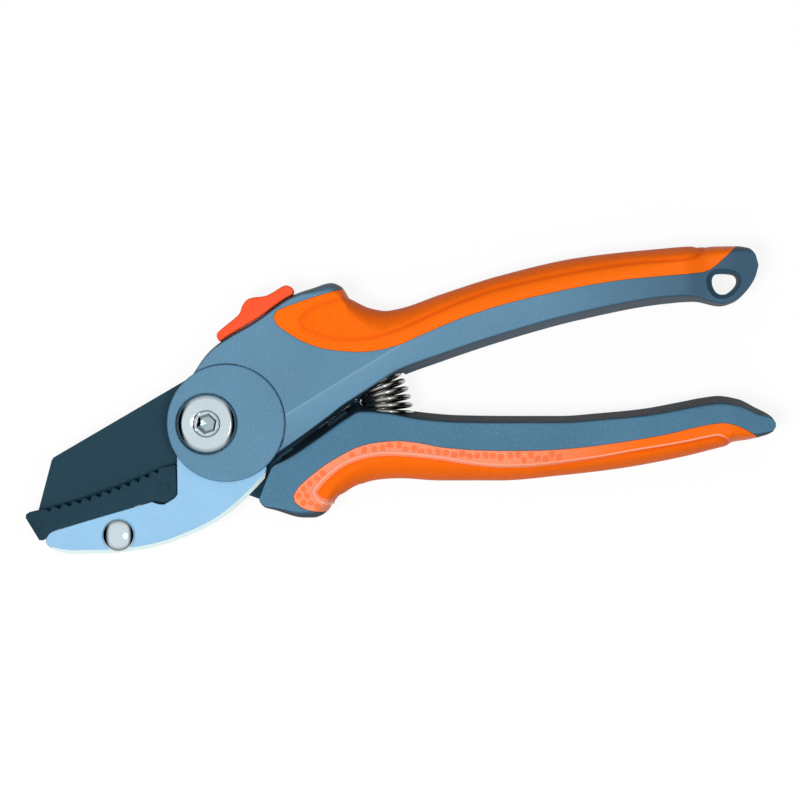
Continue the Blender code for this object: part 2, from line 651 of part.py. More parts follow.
def make_pivot():
    for name, sign in (("pivot_disc_front", 1), ("pivot_disc_rear", -1)):
        low, high = sorted((sign * DISC_IN, sign * DISC_OUT))
        disc = drum(name, DISC_R, low, high, DISC_OFFSET, 56)
        boolean(disc, as_cutter(drum(f"{name}_eye", BOLT_HEAD_R + GAP, low - 1, high + 1)))
        finish(disc, SLATE, UPPER_FRAME, smooth=True)
    seat = ARM_OUT + PLAY
    bore = BOLT_R * 0.55
    tail = -seat - BOLT_TAIL
    shoulder = [(BOLT_HEAD_R - inset, STACK_HALF - drop) for inset, drop in BOLT_SHOULDER]
    stem = [(BOLT_HEAD_R, seat), (BOLT_R, seat), (BOLT_R, tail), (bore, tail), (bore, -ARM_IN),
            (0, -ARM_IN)]
    bolt = turned("pivot_bolt", [(0, STACK_HALF)] + shoulder + stem)
    socket = bpy.data.meshes.new("hex_socket")
    form = bmesh.new()
    bmesh.ops.create_cone(form, cap_ends=True, segments=6, radius1=HEX_R * MM, radius2=HEX_R * MM,
                          depth=2 * HEX_DEEP * MM, matrix=Matrix.Translation((0, 0, STACK_HALF * MM)))
    form.to_mesh(socket)
    form.free()
    boolean(bolt, as_cutter(mesh_object_from("hex_socket", socket)))
    finish(bolt, CHROME, UPPER_FRAME, smooth=True)
    plug = bore - GAP
    neck = [(0, -ARM_IN - GAP), (plug, -ARM_IN - GAP), (plug, tail - GAP), (BOLT_HEAD_R, tail - GAP)]
    rim = [(x, -z) for x, z in reversed(shoulder)]
    nut = turned("pivot_nut", neck + rim + [(0, -STACK_HALF)])
    finish(nut, CHROME, UPPER_FRAME, smooth=True)
    bush = ring("pivot_bush", BUSH_R, BOLT_R + PLAY / 2, -ARM_OUT, ARM_OUT, sides=32)
    finish(bush, BRONZE, LOWER_FRAME, smooth=True)
    for name, sign in (("friction_washer_front", 1), ("friction_washer_rear", -1)):
        low, high = sorted((sign * WASHER_IN, sign * (WASHER_IN + WASHER_THICK)))
        washer = ring(name, WASHER_R, BUSH_R + GAP, low, high, sides=32)
        finish(washer, WHITE_PLASTIC, LOWER_FRAME, smooth=True)


# Handles.

def make_upper_handle():
    body, grip = handle_with_grip(UPPER, UPPER_FRAME, ("upper_handle_body", "upper_grip"), UPPER_GRIP_EDGE)
    deep = GRIP_HALF * 1.5
    boolean(body, as_cutter(drum("disc_recess", DISC_R + GAP, -deep, deep, DISC_OFFSET, 56)))
    room = BLADE_HALF + GAP
    boolean(body, as_cutter(plate("blade_room", grown(blade_outline(), GAP), -room, room)))
    for name, sign in (("front_arm_pocket", 1), ("rear_arm_pocket", -1)):
        low, high = sorted((sign * (ARM_IN - GAP), sign * (ARM_OUT + GAP)))
        boolean(body, as_cutter(plate(name, grown(ARM_HEEL + ARM_ROOT, GAP), low, high)))
    slot = [slide(CATCH_TIP - LOCK_TRAVEL - GAP, CATCH_LOW - GAP), slide(CATCH_END + GAP, CATCH_LOW - GAP),
            slide(CATCH_END + GAP, CATCH_TOP + 6), slide(CATCH_STEM - LOCK_TRAVEL - GAP, CATCH_TOP + 6),
            slide(CATCH_STEM - LOCK_TRAVEL - GAP, CATCH_LOW + CATCH_TOOTH + GAP),
            slide(CATCH_TIP - LOCK_TRAVEL - GAP, CATCH_LOW + CATCH_TOOTH + GAP)]
    slot_half = ARM_IN - GAP + 0.05
    boolean(body, as_cutter(plate("catch_slot", slot, -slot_half, slot_half)))
    for i, at in enumerate(ARM_PINS):
        boolean(body, as_cutter(drum(f"arm_pin_hole_{i + 1}", PIN_R + GAP, -ARM_OUT, ARM_OUT, at, 16)))
    hole = [UPPER.place(p) for p in HANG_HOLE]
    boolean(body, as_cutter(plate("hanging_hole", hole, -deep, deep)))
    seat = polar(SPRING_OUT, SPRING_SPREAD)
    up = SPRING_SPREAD + 90
    lift = polar(SPRING_WIRE / 2 + GAP, up)
    top = (SPRING_APEX[0] + seat[0] + lift[0], SPRING_APEX[1] + seat[1] + lift[1])
    pocket = SPRING_R_LOW + SPRING_WIRE / 2 + SEAT_ROOM
    boolean(body, as_cutter(tilted_drum("upper_spring_pocket", pocket, POCKET_DEPTH, top, up + 180)))
    return body


def make_lower_handle():
    body, grip = handle_with_grip(LOWER, LOWER_FRAME, ("lower_handle_body", "lower_grip"), LOWER_GRIP_EDGE)
    boolean(body, as_cutter(drum("heel_slot", HEEL_SLOT_R, -ARM_OUT - GAP, ARM_OUT + GAP, sides=64)))
    boolean(body, as_cutter(plate("tang_pocket", grown(TANG_NECK + TANG, GAP), -BLADE_HALF - GAP,
                                  BLADE_HALF + GAP)))
    for i, at in enumerate(TANG_PINS):
        boolean(body, as_cutter(drum(f"tang_pin_hole_{i + 1}", PIN_R + GAP, -TANG_PIN_HALF - GAP,
                                     TANG_PIN_HALF + GAP, at, 16)))
    low = (SPRING_APEX[0] + SPRING_OUT, SPRING_APEX[1] - SPRING_WIRE / 2 - GAP)
    pocket = SPRING_R_LOW + SPRING_WIRE / 2 + SEAT_ROOM
    boolean(body, as_cutter(tilted_drum("lower_spring_pocket", pocket, POCKET_DEPTH, low, 90)))
    boolean(body, as_cutter(block("bumper_recess", [s + 2 * GAP for s in BUMPER_SIZE], bumper_place(),
                                  BUMPER_ANGLE)))
    return body


def block(name, size, at, angle, bevel=0.0):
    """A box lying in the parting plane, turned about Z."""
    mesh = bpy.data.meshes.new(name)
    form = bmesh.new()
    place = Matrix.Translation(Vector((at[0] * MM, at[1] * MM, 0.0))) @ Matrix.Rotation(angle, 4, "Z")
    scale = Matrix.Diagonal(Vector([s * MM for s in size] + [1.0]))
    bmesh.ops.create_cube(form, size=1.0, matrix=place @ scale)
    form.to_mesh(mesh)
    form.free()
    made = mesh_object_from(name, mesh)
    if bevel:
        rounding = made.modifiers.new("edges", "BEVEL")
        rounding.width = bevel * MM
        rounding.segments = 2
    return made


def bumper_place():
    """The bumper's middle: its top just clears the upper handle's inner ridge."""
    drop = (BUMPER_SIZE[1] / 2 + GAP * 1.2) / math.cos(BUMPER_ANGLE)
    return (BUMPER_X, UPPER.gap(BUMPER_X) - drop)


def make_bumper():
    bumper = block("stop_bumper", BUMPER_SIZE, bumper_place(), BUMPER_ANGLE, bevel=0.5)
    return finish(bumper, RUBBER, LOWER_FRAME)


# Lock.

def make_lock():
    step = [(x, UPPER.palm(x) + GAP + 0.05) for x in (3.6, 8.0, 13.6, 19.0, 24.0)]
    slider = plate("lock_slider", SLIDER_TOP + step, -SLIDER_HALF, SLIDER_HALF, bevel=0.4)
    ends = (CATCH_STEM - GAP, CATCH_END + GAP)
    stem = [slide(ends[0], STEM_FROM), slide(ends[1], STEM_FROM), slide(ends[1], CATCH_TOP + GAP),
            slide(ends[0], CATCH_TOP + GAP)]
    boolean(slider, as_cutter(plate("stem_slot", stem, -BLADE_HALF - GAP, BLADE_HALF + GAP)))
    pin_at = slide(*LOCK_PIN_AT)
    pin_top = BLADE_HALF + GAP + 1.0
    hole = drum("lock_pin_hole", LOCK_PIN_R + GAP / 2, -THROUGH, pin_top + GAP, pin_at, 14)
    boolean(slider, as_cutter(hole))
    finish(slider, RED, LOCK_FRAME)
    tooth_top = CATCH_LOW + CATCH_TOOTH
    outline = [slide(CATCH_TIP, CATCH_LOW), slide(CATCH_END, CATCH_LOW), slide(CATCH_END, CATCH_TOP),
               slide(CATCH_STEM, CATCH_TOP), slide(CATCH_STEM, tooth_top), slide(CATCH_TIP, tooth_top)]
    catch = plate("lock_catch", outline, -BLADE_HALF, BLADE_HALF)
    boolean(catch, as_cutter(drum("catch_pin_hole", LOCK_PIN_R + GAP / 2, -THROUGH, THROUGH, pin_at, 14)))
    finish(catch, STEEL, LOCK_FRAME)
    pin = drum("lock_pin", LOCK_PIN_R, -SLIDER_HALF, pin_top, pin_at, 14)
    finish(pin, STEEL, LOCK_FRAME, smooth=True)


# Spring.

def spring_point(turn):
    """Centre of the wire after so many turns, from the lower seat to the upper one."""
    share = turn / SPRING_TURNS
    radius = SPRING_R_LOW + (SPRING_R_HIGH - SPRING_R_LOW) * share
    angle = 2 * math.pi * turn
    out = SPRING_OUT + radius * math.cos(angle)
    tilt = math.radians(SPRING_SPREAD * share)
    return (SPRING_APEX[0] + out * math.cos(tilt), SPRING_APEX[1] + out * math.sin(tilt),
            radius * math.sin(angle))


def make_spring(steps_a_turn=16):
    curve = bpy.data.curves.new("return_spring", "CURVE")
    curve.dimensions = "3D"
    curve.bevel_depth = SPRING_WIRE / 2 * MM
    curve.bevel_resolution = 2
    curve.use_fill_caps = True
    count = int(SPRING_TURNS * steps_a_turn) + 1
    spline = curve.splines.new("POLY")
    spline.points.add(count - 1)
    for i, point in enumerate(spline.points):
        x, y, z = spring_point(i / steps_a_turn)
        point.co = (x * MM, y * MM, z * MM, 1.0)
    spring = bpy.data.objects.new("return_spring", curve)
    PARTS.objects.link(spring)
    curve.materials.append(SPRING_STEEL)
    spring.parent = UPPER_FRAME


make_blade()
make_anvil_insert()
make_arm("anvil_arm_front", ARM_IN, ARM_OUT)
make_arm("anvil_arm_rear", -ARM_OUT, -ARM_IN)
make_anvil_rivet()
make_pins("anvil_insert_pin", INSERT_PIN_R, ARM_OUT, INSERT_PINS, UPPER_FRAME)
make_pins("arm_pin", PIN_R, ARM_OUT - GAP, ARM_PINS, UPPER_FRAME)
make_pins("tang_pin", PIN_R, TANG_PIN_HALF, TANG_PINS, LOWER_FRAME)
make_pivot()
make_upper_handle()
make_lower_handle()
make_bumper()
make_lock()
make_spring()
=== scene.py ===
# %% [markdown]
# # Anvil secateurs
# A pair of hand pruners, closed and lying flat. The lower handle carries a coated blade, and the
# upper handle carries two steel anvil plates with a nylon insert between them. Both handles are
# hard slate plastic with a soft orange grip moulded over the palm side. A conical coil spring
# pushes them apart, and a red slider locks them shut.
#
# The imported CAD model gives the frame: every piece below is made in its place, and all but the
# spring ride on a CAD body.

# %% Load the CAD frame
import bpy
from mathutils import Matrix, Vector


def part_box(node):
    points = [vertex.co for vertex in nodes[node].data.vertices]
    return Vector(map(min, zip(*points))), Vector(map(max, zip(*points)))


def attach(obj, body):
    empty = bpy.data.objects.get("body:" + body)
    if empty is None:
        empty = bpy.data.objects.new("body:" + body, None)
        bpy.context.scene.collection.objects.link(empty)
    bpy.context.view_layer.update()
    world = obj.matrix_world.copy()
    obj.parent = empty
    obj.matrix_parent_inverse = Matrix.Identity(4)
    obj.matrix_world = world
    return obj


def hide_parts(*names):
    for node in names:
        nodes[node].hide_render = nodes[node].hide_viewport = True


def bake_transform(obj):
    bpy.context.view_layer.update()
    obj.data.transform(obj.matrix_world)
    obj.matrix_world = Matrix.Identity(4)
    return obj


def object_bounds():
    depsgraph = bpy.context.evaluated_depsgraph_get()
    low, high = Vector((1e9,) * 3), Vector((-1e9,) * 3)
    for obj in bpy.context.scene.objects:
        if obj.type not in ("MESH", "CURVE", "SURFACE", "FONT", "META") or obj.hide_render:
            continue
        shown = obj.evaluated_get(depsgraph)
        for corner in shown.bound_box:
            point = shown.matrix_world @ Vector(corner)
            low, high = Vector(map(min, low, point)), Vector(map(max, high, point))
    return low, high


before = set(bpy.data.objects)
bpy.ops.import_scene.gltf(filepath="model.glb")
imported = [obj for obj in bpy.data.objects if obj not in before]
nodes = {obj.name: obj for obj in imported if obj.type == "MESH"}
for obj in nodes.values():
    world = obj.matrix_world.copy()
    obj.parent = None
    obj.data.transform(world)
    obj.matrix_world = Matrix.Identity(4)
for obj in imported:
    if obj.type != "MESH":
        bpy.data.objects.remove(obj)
cad_box = [list(corner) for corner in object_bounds()]

import math

import bmesh
import bpy
import numpy as np
from mathutils import Vector, noise
from mathutils.bvhtree import BVHTree

MM = 0.001
scene = bpy.context.scene

# %% [markdown]
# ## Where the middle of the stack lies
# The blade is the middle layer of everything, so heights are counted from its middle plane. Each
# piece is modelled in millimetres about that plane and moved to its place in the mesh itself,
# which leaves every object at the origin, unturned and unscaled.

# %% The middle plane
blade_low, blade_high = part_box("blade")
MIDDLE = (blade_low.z + blade_high.z) / 2 / MM
arm_low, arm_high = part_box("anvil_arm_front")
ARM_IN = arm_low.z / MM - MIDDLE
ARM_OUT = arm_high.z / MM - MIDDLE
disc_low, disc_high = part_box("pivot_disc_front")
DISC_IN = disc_low.z / MM - MIDDLE
DISC_OUT = disc_high.z / MM - MIDDLE
BLADE_HALF = (blade_high.z - blade_low.z) / 2 / MM
print(f"middle plane {MIDDLE:.2f} mm, arms {ARM_IN:.2f} to {ARM_OUT:.2f}, disc to {DISC_OUT:.2f}")

# %% [markdown]
# ## Camera, floor and light
# The view is straight down with a long lens, which keeps the outlines true. The light is a large
# soft source high on the left and a pale world, so that a matt colour renders about as it is
# written. The floor is white to the camera and still takes the tool's shadow. Shiny surfaces see
# a bright ceiling with a dark curtain on the left and on the right, which gives the chrome its
# black and white rims.

# %% Camera
VIEW_WIDTH = 224.0
VIEW_CENTRE = (53.87, 6.64)
LENS = 180.0
SENSOR = 36.0
camera_data = bpy.data.cameras.new("view")
camera_data.lens = LENS
camera_data.sensor_width = SENSOR
camera_data.clip_end = 10.0
camera = bpy.data.objects.new("view", camera_data)
camera_height = MIDDLE + VIEW_WIDTH * LENS / SENSOR
camera.location = (VIEW_CENTRE[0] * MM, VIEW_CENTRE[1] * MM, camera_height * MM)
scene.collection.objects.link(camera)
scene.camera = camera
scene.view_settings.view_transform = "Standard"


# %% Node helpers, for shaders and Geometry Nodes alike
def plug(tree, socket, value):
    """Links another node's output to a socket, or sets the socket to a plain value."""
    if isinstance(value, bpy.types.NodeSocket):
        tree.links.new(value, socket)
    elif isinstance(value, tuple) and socket.type == "RGBA":
        socket.default_value = (*value, 1.0)
    elif value is not None:
        socket.default_value = value


def new_node(tree, kind, inputs=(), **settings):
    """A new node, its settings made first and then its named inputs plugged."""
    made = tree.nodes.new(kind)
    for title, value in settings.items():
        setattr(made, title, value)
    for title, value in dict(inputs).items():
        plug(tree, made.inputs[title], value)
    return made


def first_output(tree, kind, *values, **settings):
    """The first output of a new node whose first inputs take the values in order."""
    made = new_node(tree, kind, **settings)
    for socket, value in zip(made.inputs, values):
        plug(tree, socket, value)
    return made.outputs[0]


def maths(tree, operation, one, two=0.0):
    return first_output(tree, "ShaderNodeMath", one, two, operation=operation)


def ranged(tree, value, low, high, to_low=0.0, to_high=1.0):
    return first_output(tree, "ShaderNodeMapRange", value, low, high, to_low, to_high)


def blended(tree, share, one, two, way="MIX"):
    made = new_node(tree, "ShaderNodeMix", data_type="RGBA", blend_type=way)
    for place, value in ((0, share), (6, one), (7, two)):
        plug(tree, made.inputs[place], value)
    return made.outputs[2]


def mixed_shader(tree, share, one, two):
    return first_output(tree, "ShaderNodeMixShader", share, one, two)


def emission(tree, colour=None):
    return first_output(tree, "ShaderNodeEmission", colour, 1.0)


def coordinates(tree, kind="Object"):
    return tree.nodes.new("ShaderNodeTexCoord").outputs[kind]


# %% Floor: white to the camera, with the tool's shadow
FLOOR_REACH = 3.0
FLOOR_GAP = 0.0001
FLOOR_WHITE = 0.88      # how much of what the camera sees is plain white, not lit floor
FLOOR_GLOSS = 0.5       # the same share again, as polished metal sees it
BOUNCE = (0.34, 0.33, 0.32)
floor_z = cad_box[0][2] - FLOOR_GAP
corners = [(x * FLOOR_REACH, y * FLOOR_REACH, floor_z)
           for x, y in ((-1, -1), (1, -1), (1, 1), (-1, 1))]
floor_mesh = bpy.data.meshes.new("floor")
floor_mesh.from_pydata(corners, [], [(0, 1, 2, 3)])
floor = bpy.data.objects.new("floor", floor_mesh)
scene.collection.objects.link(floor)
floor_finish = bpy.data.materials.new("floor_white")
floor_finish.use_nodes = True
tree = floor_finish.node_tree
path = tree.nodes.new("ShaderNodeLightPath").outputs
lit = tree.nodes["Principled BSDF"]
lit.inputs["Roughness"].default_value = 0.9
bounced = blended(tree, path["Is Diffuse Ray"], (1.0, 1.0, 1.0), BOUNCE)
plug(tree, lit.inputs["Base Color"], bounced)
seen = maths(tree, "MAXIMUM", path["Is Camera Ray"], path["Is Transmission Ray"])
seen = maths(tree, "MAXIMUM", seen, maths(tree, "MULTIPLY", path["Is Glossy Ray"], FLOOR_GLOSS))
seen = maths(tree, "MULTIPLY", seen, FLOOR_WHITE)
surface = mixed_shader(tree, seen, lit.outputs[0], emission(tree))
plug(tree, tree.nodes["Material Output"].inputs["Surface"], surface)
floor_mesh.materials.append(floor_finish)

# %% World: white to the camera, a bright ceiling with two dark curtains to gloss
SKY_STRENGTH = 0.42
SKY_LOW = (0.035, 0.04, 0.045, 1.0)
SKY_HIGH = (0.92, 0.96, 1.0, 1.0)
SKY_FLOOR = (0.36, 0.33, 0.31)      # matt surfaces see nothing darker than this
CURTAIN_FROM, CURTAIN_TO = 0.55, 0.8
world = bpy.data.worlds.new("pale_room")
scene.world = world
world.use_nodes = True
tree = world.node_tree
path = tree.nodes.new("ShaderNodeLightPath").outputs
sky = tree.nodes["Background"]
sky.inputs["Strength"].default_value = SKY_STRENGTH
way = new_node(tree, "ShaderNodeSeparateXYZ", {"Vector": coordinates(tree, "Generated")}).outputs
rise = new_node(tree, "ShaderNodeValToRGB", {"Fac": way["Z"]})
for stop, place, colour in zip(rise.color_ramp.elements, (0.05, 0.75), (SKY_LOW, SKY_HIGH)):
    stop.position = place
    stop.color = colour
lifted = first_output(tree, "ShaderNodeVectorMath", rise.outputs[0], SKY_FLOOR, operation="MAXIMUM")
plug(tree, sky.inputs["Color"], lifted)
curtain = ranged(tree, maths(tree, "ABSOLUTE", way["X"]), CURTAIN_FROM, CURTAIN_TO, 1.0, 0.0)
hung = new_node(tree, "ShaderNodeVectorMath", {"Scale": curtain}, operation="SCALE")
plug(tree, hung.inputs[0], rise.outputs[0])
shiny = mixed_shader(tree, path["Is Glossy Ray"], sky.outputs[0], emission(tree, hung.outputs[0]))
seen = maths(tree, "MAXIMUM", path["Is Camera Ray"], path["Is Transmission Ray"])
surface = mixed_shader(tree, seen, shiny, emission(tree))
plug(tree, tree.nodes["World Output"].inputs["Surface"], surface)


# %% Lamps
def soft_lamp(name, place, aim, size, watts, colour):
    lamp = bpy.data.lights.new(name, "AREA")
    lamp.shape = "DISK"
    lamp.size = size
    lamp.energy = watts
    lamp.color = colour
    holder = bpy.data.objects.new(name, lamp)
    holder.location = place
    holder.rotation_euler = (Vector(aim) - Vector(place)).to_track_quat("-Z", "Y").to_euler()
    scene.collection.objects.link(holder)
    return holder


LIT_POINT = (0.055, 0.005, 0.0)
key = soft_lamp("key", (-0.30, -0.22, 1.30), LIT_POINT, 0.45, 12.0, (1.0, 0.98, 0.95))
key.visible_glossy = False
soft_lamp("fill", (0.45, -0.10, 1.25), LIT_POINT, 0.3, 2.4, (0.9, 0.95, 1.0))


# %% [markdown]
# ## Tools for mesh pieces
# Four ways of making a shape cover the whole tool: a plate (an outline with a thickness), a
# turned piece (a profile spun about an axis), a skin over cross-sections, and Boolean cuts.
# Outlines are typed as a few points and refined into a smooth curve that keeps its sharp corners.

# %% Curves and outlines
def hermite(t, start, end, start_slope, end_slope, width=1.0):
    """A cubic from start to end over a step of the given width."""
    return ((1 + 2 * t) * (1 - t) ** 2 * start + t * (1 - t) ** 2 * width * start_slope
            + t * t * (3 - 2 * t) * end + t * t * (t - 1) * width * end_slope)


def curve_through(points):
    """A smooth y(x) through points sorted by x, which doesn't overshoot between them."""
    xs = [p[0] for p in points]
    ys = [p[1] for p in points]
    steps = [(ys[i + 1] - ys[i]) / (xs[i + 1] - xs[i]) for i in range(len(xs) - 1)]
    slopes = [steps[0]]
    for before, after in zip(steps, steps[1:]):
        flat = before * after <= 0
        slopes.append(0.0 if flat else 2 * before * after / (before + after))
    slopes.append(steps[-1])

    def value(x):
        x = min(max(x, xs[0]), xs[-1])
        i = max(k for k in range(len(xs) - 1) if x >= xs[k])
        width = xs[i + 1] - xs[i]
        return hermite((x - xs[i]) / width, ys[i], ys[i + 1], slopes[i], slopes[i + 1], width)

    return value


def refined(points, spacing, corner=38.0, closed=True):
    """The outline with points every spacing, smooth but for turns of more than corner degrees."""
    count = len(points)
    places = [Vector(p) for p in points]
    tangents = []
    for i, here in enumerate(places):
        before = places[i - 1] if closed or i else here
        after = places[(i + 1) % count] if closed or i < count - 1 else here
        into, out = here - before, after - here
        if into.length < 1e-9 or out.length < 1e-9 or math.degrees(into.angle(out)) > corner:
            tangents.append(None)
        else:
            tangents.append((after - before).normalized())
    made = []
    for i in range(count if closed else count - 1):
        j = (i + 1) % count
        step = places[j] - places[i]
        length = step.length
        start = (tangents[i] or step.normalized()) * length
        end = (tangents[j] or step.normalized()) * length
        pieces = max(1, round(length / spacing))
        for k in range(pieces):
            made.append(tuple(hermite(k / pieces, places[i], places[j], start, end)))
    if not closed:
        made.append(tuple(places[-1]))
    return made


def area(points):
    pairs = zip(points, points[1:] + points[:1])
    return sum(a[0] * b[1] - b[0] * a[1] for a, b in pairs) / 2


def grown(points, distance):
    """The outline moved outwards; distance is one number, or one for each point."""
    side = 1 if area(points) > 0 else -1
    ways = distance if isinstance(distance, list) else [distance] * len(points)
    moved = []
    befores, afters = points[-1:] + points[:-1], points[1:] + points[:1]
    for before, here, after, way in zip(befores, points, afters, ways):
        one = (Vector(here) - Vector(before)).normalized()
        two = (Vector(after) - Vector(here)).normalized()
        normal_one = Vector((one.y, -one.x)) * side
        normal_two = Vector((two.y, -two.x)) * side
        middle_way = (normal_one + normal_two).normalized()
        stretch = way / max(middle_way.dot(normal_one), 0.5)
        moved.append((here[0] + middle_way.x * stretch, here[1] + middle_way.y * stretch))
    return moved


def polar(radius, degrees):
    return (radius * math.cos(math.radians(degrees)), radius * math.sin(math.radians(degrees)))


def arc(radius, start, end, count, centre=(0.0, 0.0)):
    turns = [polar(radius, start + (end - start) * i / (count - 1)) for i in range(count)]
    return [(centre[0] + x, centre[1] + y) for x, y in turns]


# %% Solids
def solid_from(name, vertices, faces):
    """A mesh object from points in millimetres about the middle plane, faces outwards."""
    mesh = bpy.data.meshes.new(name)
    mesh.from_pydata([(x * MM, y * MM, (z + MIDDLE) * MM) for x, y, z in vertices], [], faces)
    form = bmesh.new()
    form.from_mesh(mesh)
    bmesh.ops.remove_doubles(form, verts=form.verts, dist=1e-7)
    bmesh.ops.recalc_face_normals(form, faces=form.faces)
    form.to_mesh(mesh)
    form.free()
    made = bpy.data.objects.new(name, mesh)
    scene.collection.objects.link(made)
    return made


def quads_between(rows, count):
    """The four-sided faces between rows of points that each close on themselves."""
    faces = []
    for low in range(0, (rows - 1) * count, count):
        for i in range(count):
            j = (i + 1) % count
            faces.append((low + i, low + j, low + count + j, low + count + i))
    return faces


def skin_over(name, rings):
    """A closed skin over rings of equal point counts, with a flat cap at each end."""
    count = len(rings[0])
    vertices = [point for ring in rings for point in ring]
    faces = quads_between(len(rings), count)
    faces.append(tuple(range(count)))
    faces.append(tuple(range(len(vertices) - count, len(vertices))))
    return solid_from(name, vertices, faces)


def plate(name, outline, low, high):
    return skin_over(name, [[(x, y, low) for x, y in outline], [(x, y, high) for x, y in outline]])


def eased_plate(name, outline, low, high, ease, steps=3):
    """A plate whose two rims are rounded by ease."""
    rings = []
    for edge, way in ((low, 1), (high, -1)):
        part = []
        for k in range(steps + 1):
            angle = math.radians(90 * k / steps)
            inset = ease * (1 - math.sin(angle))
            height = edge + way * ease * (1 - math.cos(angle))
            part.append([(x, y, height) for x, y in grown(outline, -inset)])
        rings += part if way == 1 else part[::-1]
    return skin_over(name, rings)


def turned(name, profile, at=(0.0, 0.0), sides=96):
    """A solid of revolution: (radius, height) from one end of the axis to the other."""
    vertices = []
    for radius, height in profile:
        for i in range(sides):
            x, y = polar(radius, 360 * i / sides)
            vertices.append((at[0] + x, at[1] + y, height))
    made = solid_from(name, vertices, quads_between(len(profile), sides))
    form = bmesh.new()
    form.from_mesh(made.data)
    flat = [face for face in form.faces if face.calc_area() < 1e-14]
    bmesh.ops.delete(form, geom=flat, context="FACES_ONLY")
    form.to_mesh(made.data)
    form.free()
    return made


def drum(name, radius, low, high, at=(0.0, 0.0), sides=64):
    return plate(name, arc(radius, 0, 360 - 360 / sides, sides, at), low, high)


def lying_drum(name, radius, length, at, degrees, sides=48):
    """A cylinder in the middle plane that points along degrees from X."""
    along = Vector((*polar(1, degrees), 0))
    across = Vector((-along.y, along.x, 0))
    rings = []
    for reach_out in (0.0, length):
        ring = []
        for i in range(sides):
            x, z = polar(radius, 360 * i / sides)
            spot = Vector((*at, 0)) + along * reach_out + across * x
            ring.append((spot.x, spot.y, z))
        rings.append(ring)
    return skin_over(name, rings)


# %% Boolean cuts
def evaluated_mesh(target):
    """A plain mesh of the object as its modifiers leave it."""
    view = bpy.context.evaluated_depsgraph_get()
    return bpy.data.meshes.new_from_object(target.evaluated_get(view))


def combined(target, other, operation="DIFFERENCE"):
    """target cut by, joined to or kept inside other, as plain mesh; other is used up."""
    modifier = target.modifiers.new("cut", "BOOLEAN")
    modifier.operation = operation
    modifier.solver = "MANIFOLD"
    modifier.object = other
    result = evaluated_mesh(target)
    target.modifiers.remove(modifier)
    if len(result.polygons) == 0:
        print(f"  empty cut of {target.name} by {other.name}")
    else:
        target.data = result
    bpy.data.objects.remove(other, do_unlink=True)
    return target


def settled(target):
    """The object's modifiers turned into plain mesh."""
    result = evaluated_mesh(target)
    target.modifiers.clear()
    target.data = result
    return target


def shaded(piece, sharp):
    """Smooth shading that keeps edges sharper than so many degrees."""
    piece.data.shade_smooth()
    piece.data.set_sharp_from_angle(angle=math.radians(sharp))
    print(f"{piece.name}: {len(piece.data.polygons)} faces")


def placed(piece, finish, slot, body, *stands_for, sharp=32.0):
    """Gives a piece its material, shading and CAD body, and hides the CAD nodes it stands for; slot
    is not used.
    """
    piece.data.materials.clear()
    piece.data.materials.append(finish)
    shaded(piece, sharp)
    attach(piece, body)
    if stands_for:
        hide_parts(*stands_for)
    return piece


# %% [markdown]
# ## Finishes
# Moulded plastic is never one flat colour: it has fine pale flecks, a faint drift of tone and a
# dry, grained skin. Steel has the lines of the belt or wheel that finished it. These effects are
# node groups that work on object coordinates, and each material places one with its own colours
# and sizes. The groups only give colours, masks and heights; the shader stays in the material.

# %% Node group helpers
def new_group(name, inputs, outputs):
    tree = bpy.data.node_groups.new(name, "ShaderNodeTree")
    for title, kind, value in inputs:
        socket = tree.interface.new_socket(title, in_out="INPUT", socket_type=kind)
        socket.default_value = value
    for title, kind in outputs:
        tree.interface.new_socket(title, in_out="OUTPUT", socket_type=kind)
    return tree, tree.nodes.new("NodeGroupInput").outputs, tree.nodes.new("NodeGroupOutput").inputs


def noise_of(tree, vector, scale, detail=2.0):
    sizes = {"Vector": vector, "Scale": scale, "Detail": detail}
    return new_node(tree, "ShaderNodeTexNoise", sizes).outputs["Fac"]


FLOAT, COLOUR, VECTOR = "NodeSocketFloat", "NodeSocketColor", "NodeSocketVector"
GREY, WHITE = (0.5, 0.5, 0.5, 1.0), (1.0, 1.0, 1.0, 1.0)
SKIN_OUTPUTS = [("Colour", COLOUR), ("Roughness", FLOAT), ("Height", FLOAT)]


# %% Group: flecks and drift of moulded plastic
def make_moulded_skin():
    tree, given, out = new_group("moulded_skin", [
        ("Colour", COLOUR, GREY), ("Fleck Colour", COLOUR, WHITE), ("Flecks", FLOAT, 0.5),
        ("Fleck Scale", FLOAT, 2600.0), ("Drift", FLOAT, 0.12), ("Roughness", FLOAT, 0.5)],
        SKIN_OUTPUTS)
    place = coordinates(tree)
    fine = noise_of(tree, place, given["Fleck Scale"], 3.0)
    broad = noise_of(tree, place, 55.0)
    flecks = maths(tree, "MULTIPLY", ranged(tree, fine, 0.56, 0.74), given["Flecks"])
    tone = ranged(tree, broad, 0.3, 0.7, maths(tree, "SUBTRACT", 1.0, given["Drift"]), 1.0)
    toned = blended(tree, 1.0, given["Colour"], tone, "MULTIPLY")
    change = ranged(tree, fine, 0.3, 0.7, -0.06, 0.06)
    plug(tree, out["Colour"], blended(tree, flecks, toned, given["Fleck Colour"]))
    plug(tree, out["Roughness"], maths(tree, "ADD", given["Roughness"], change))
    plug(tree, out["Height"], fine)
    return tree


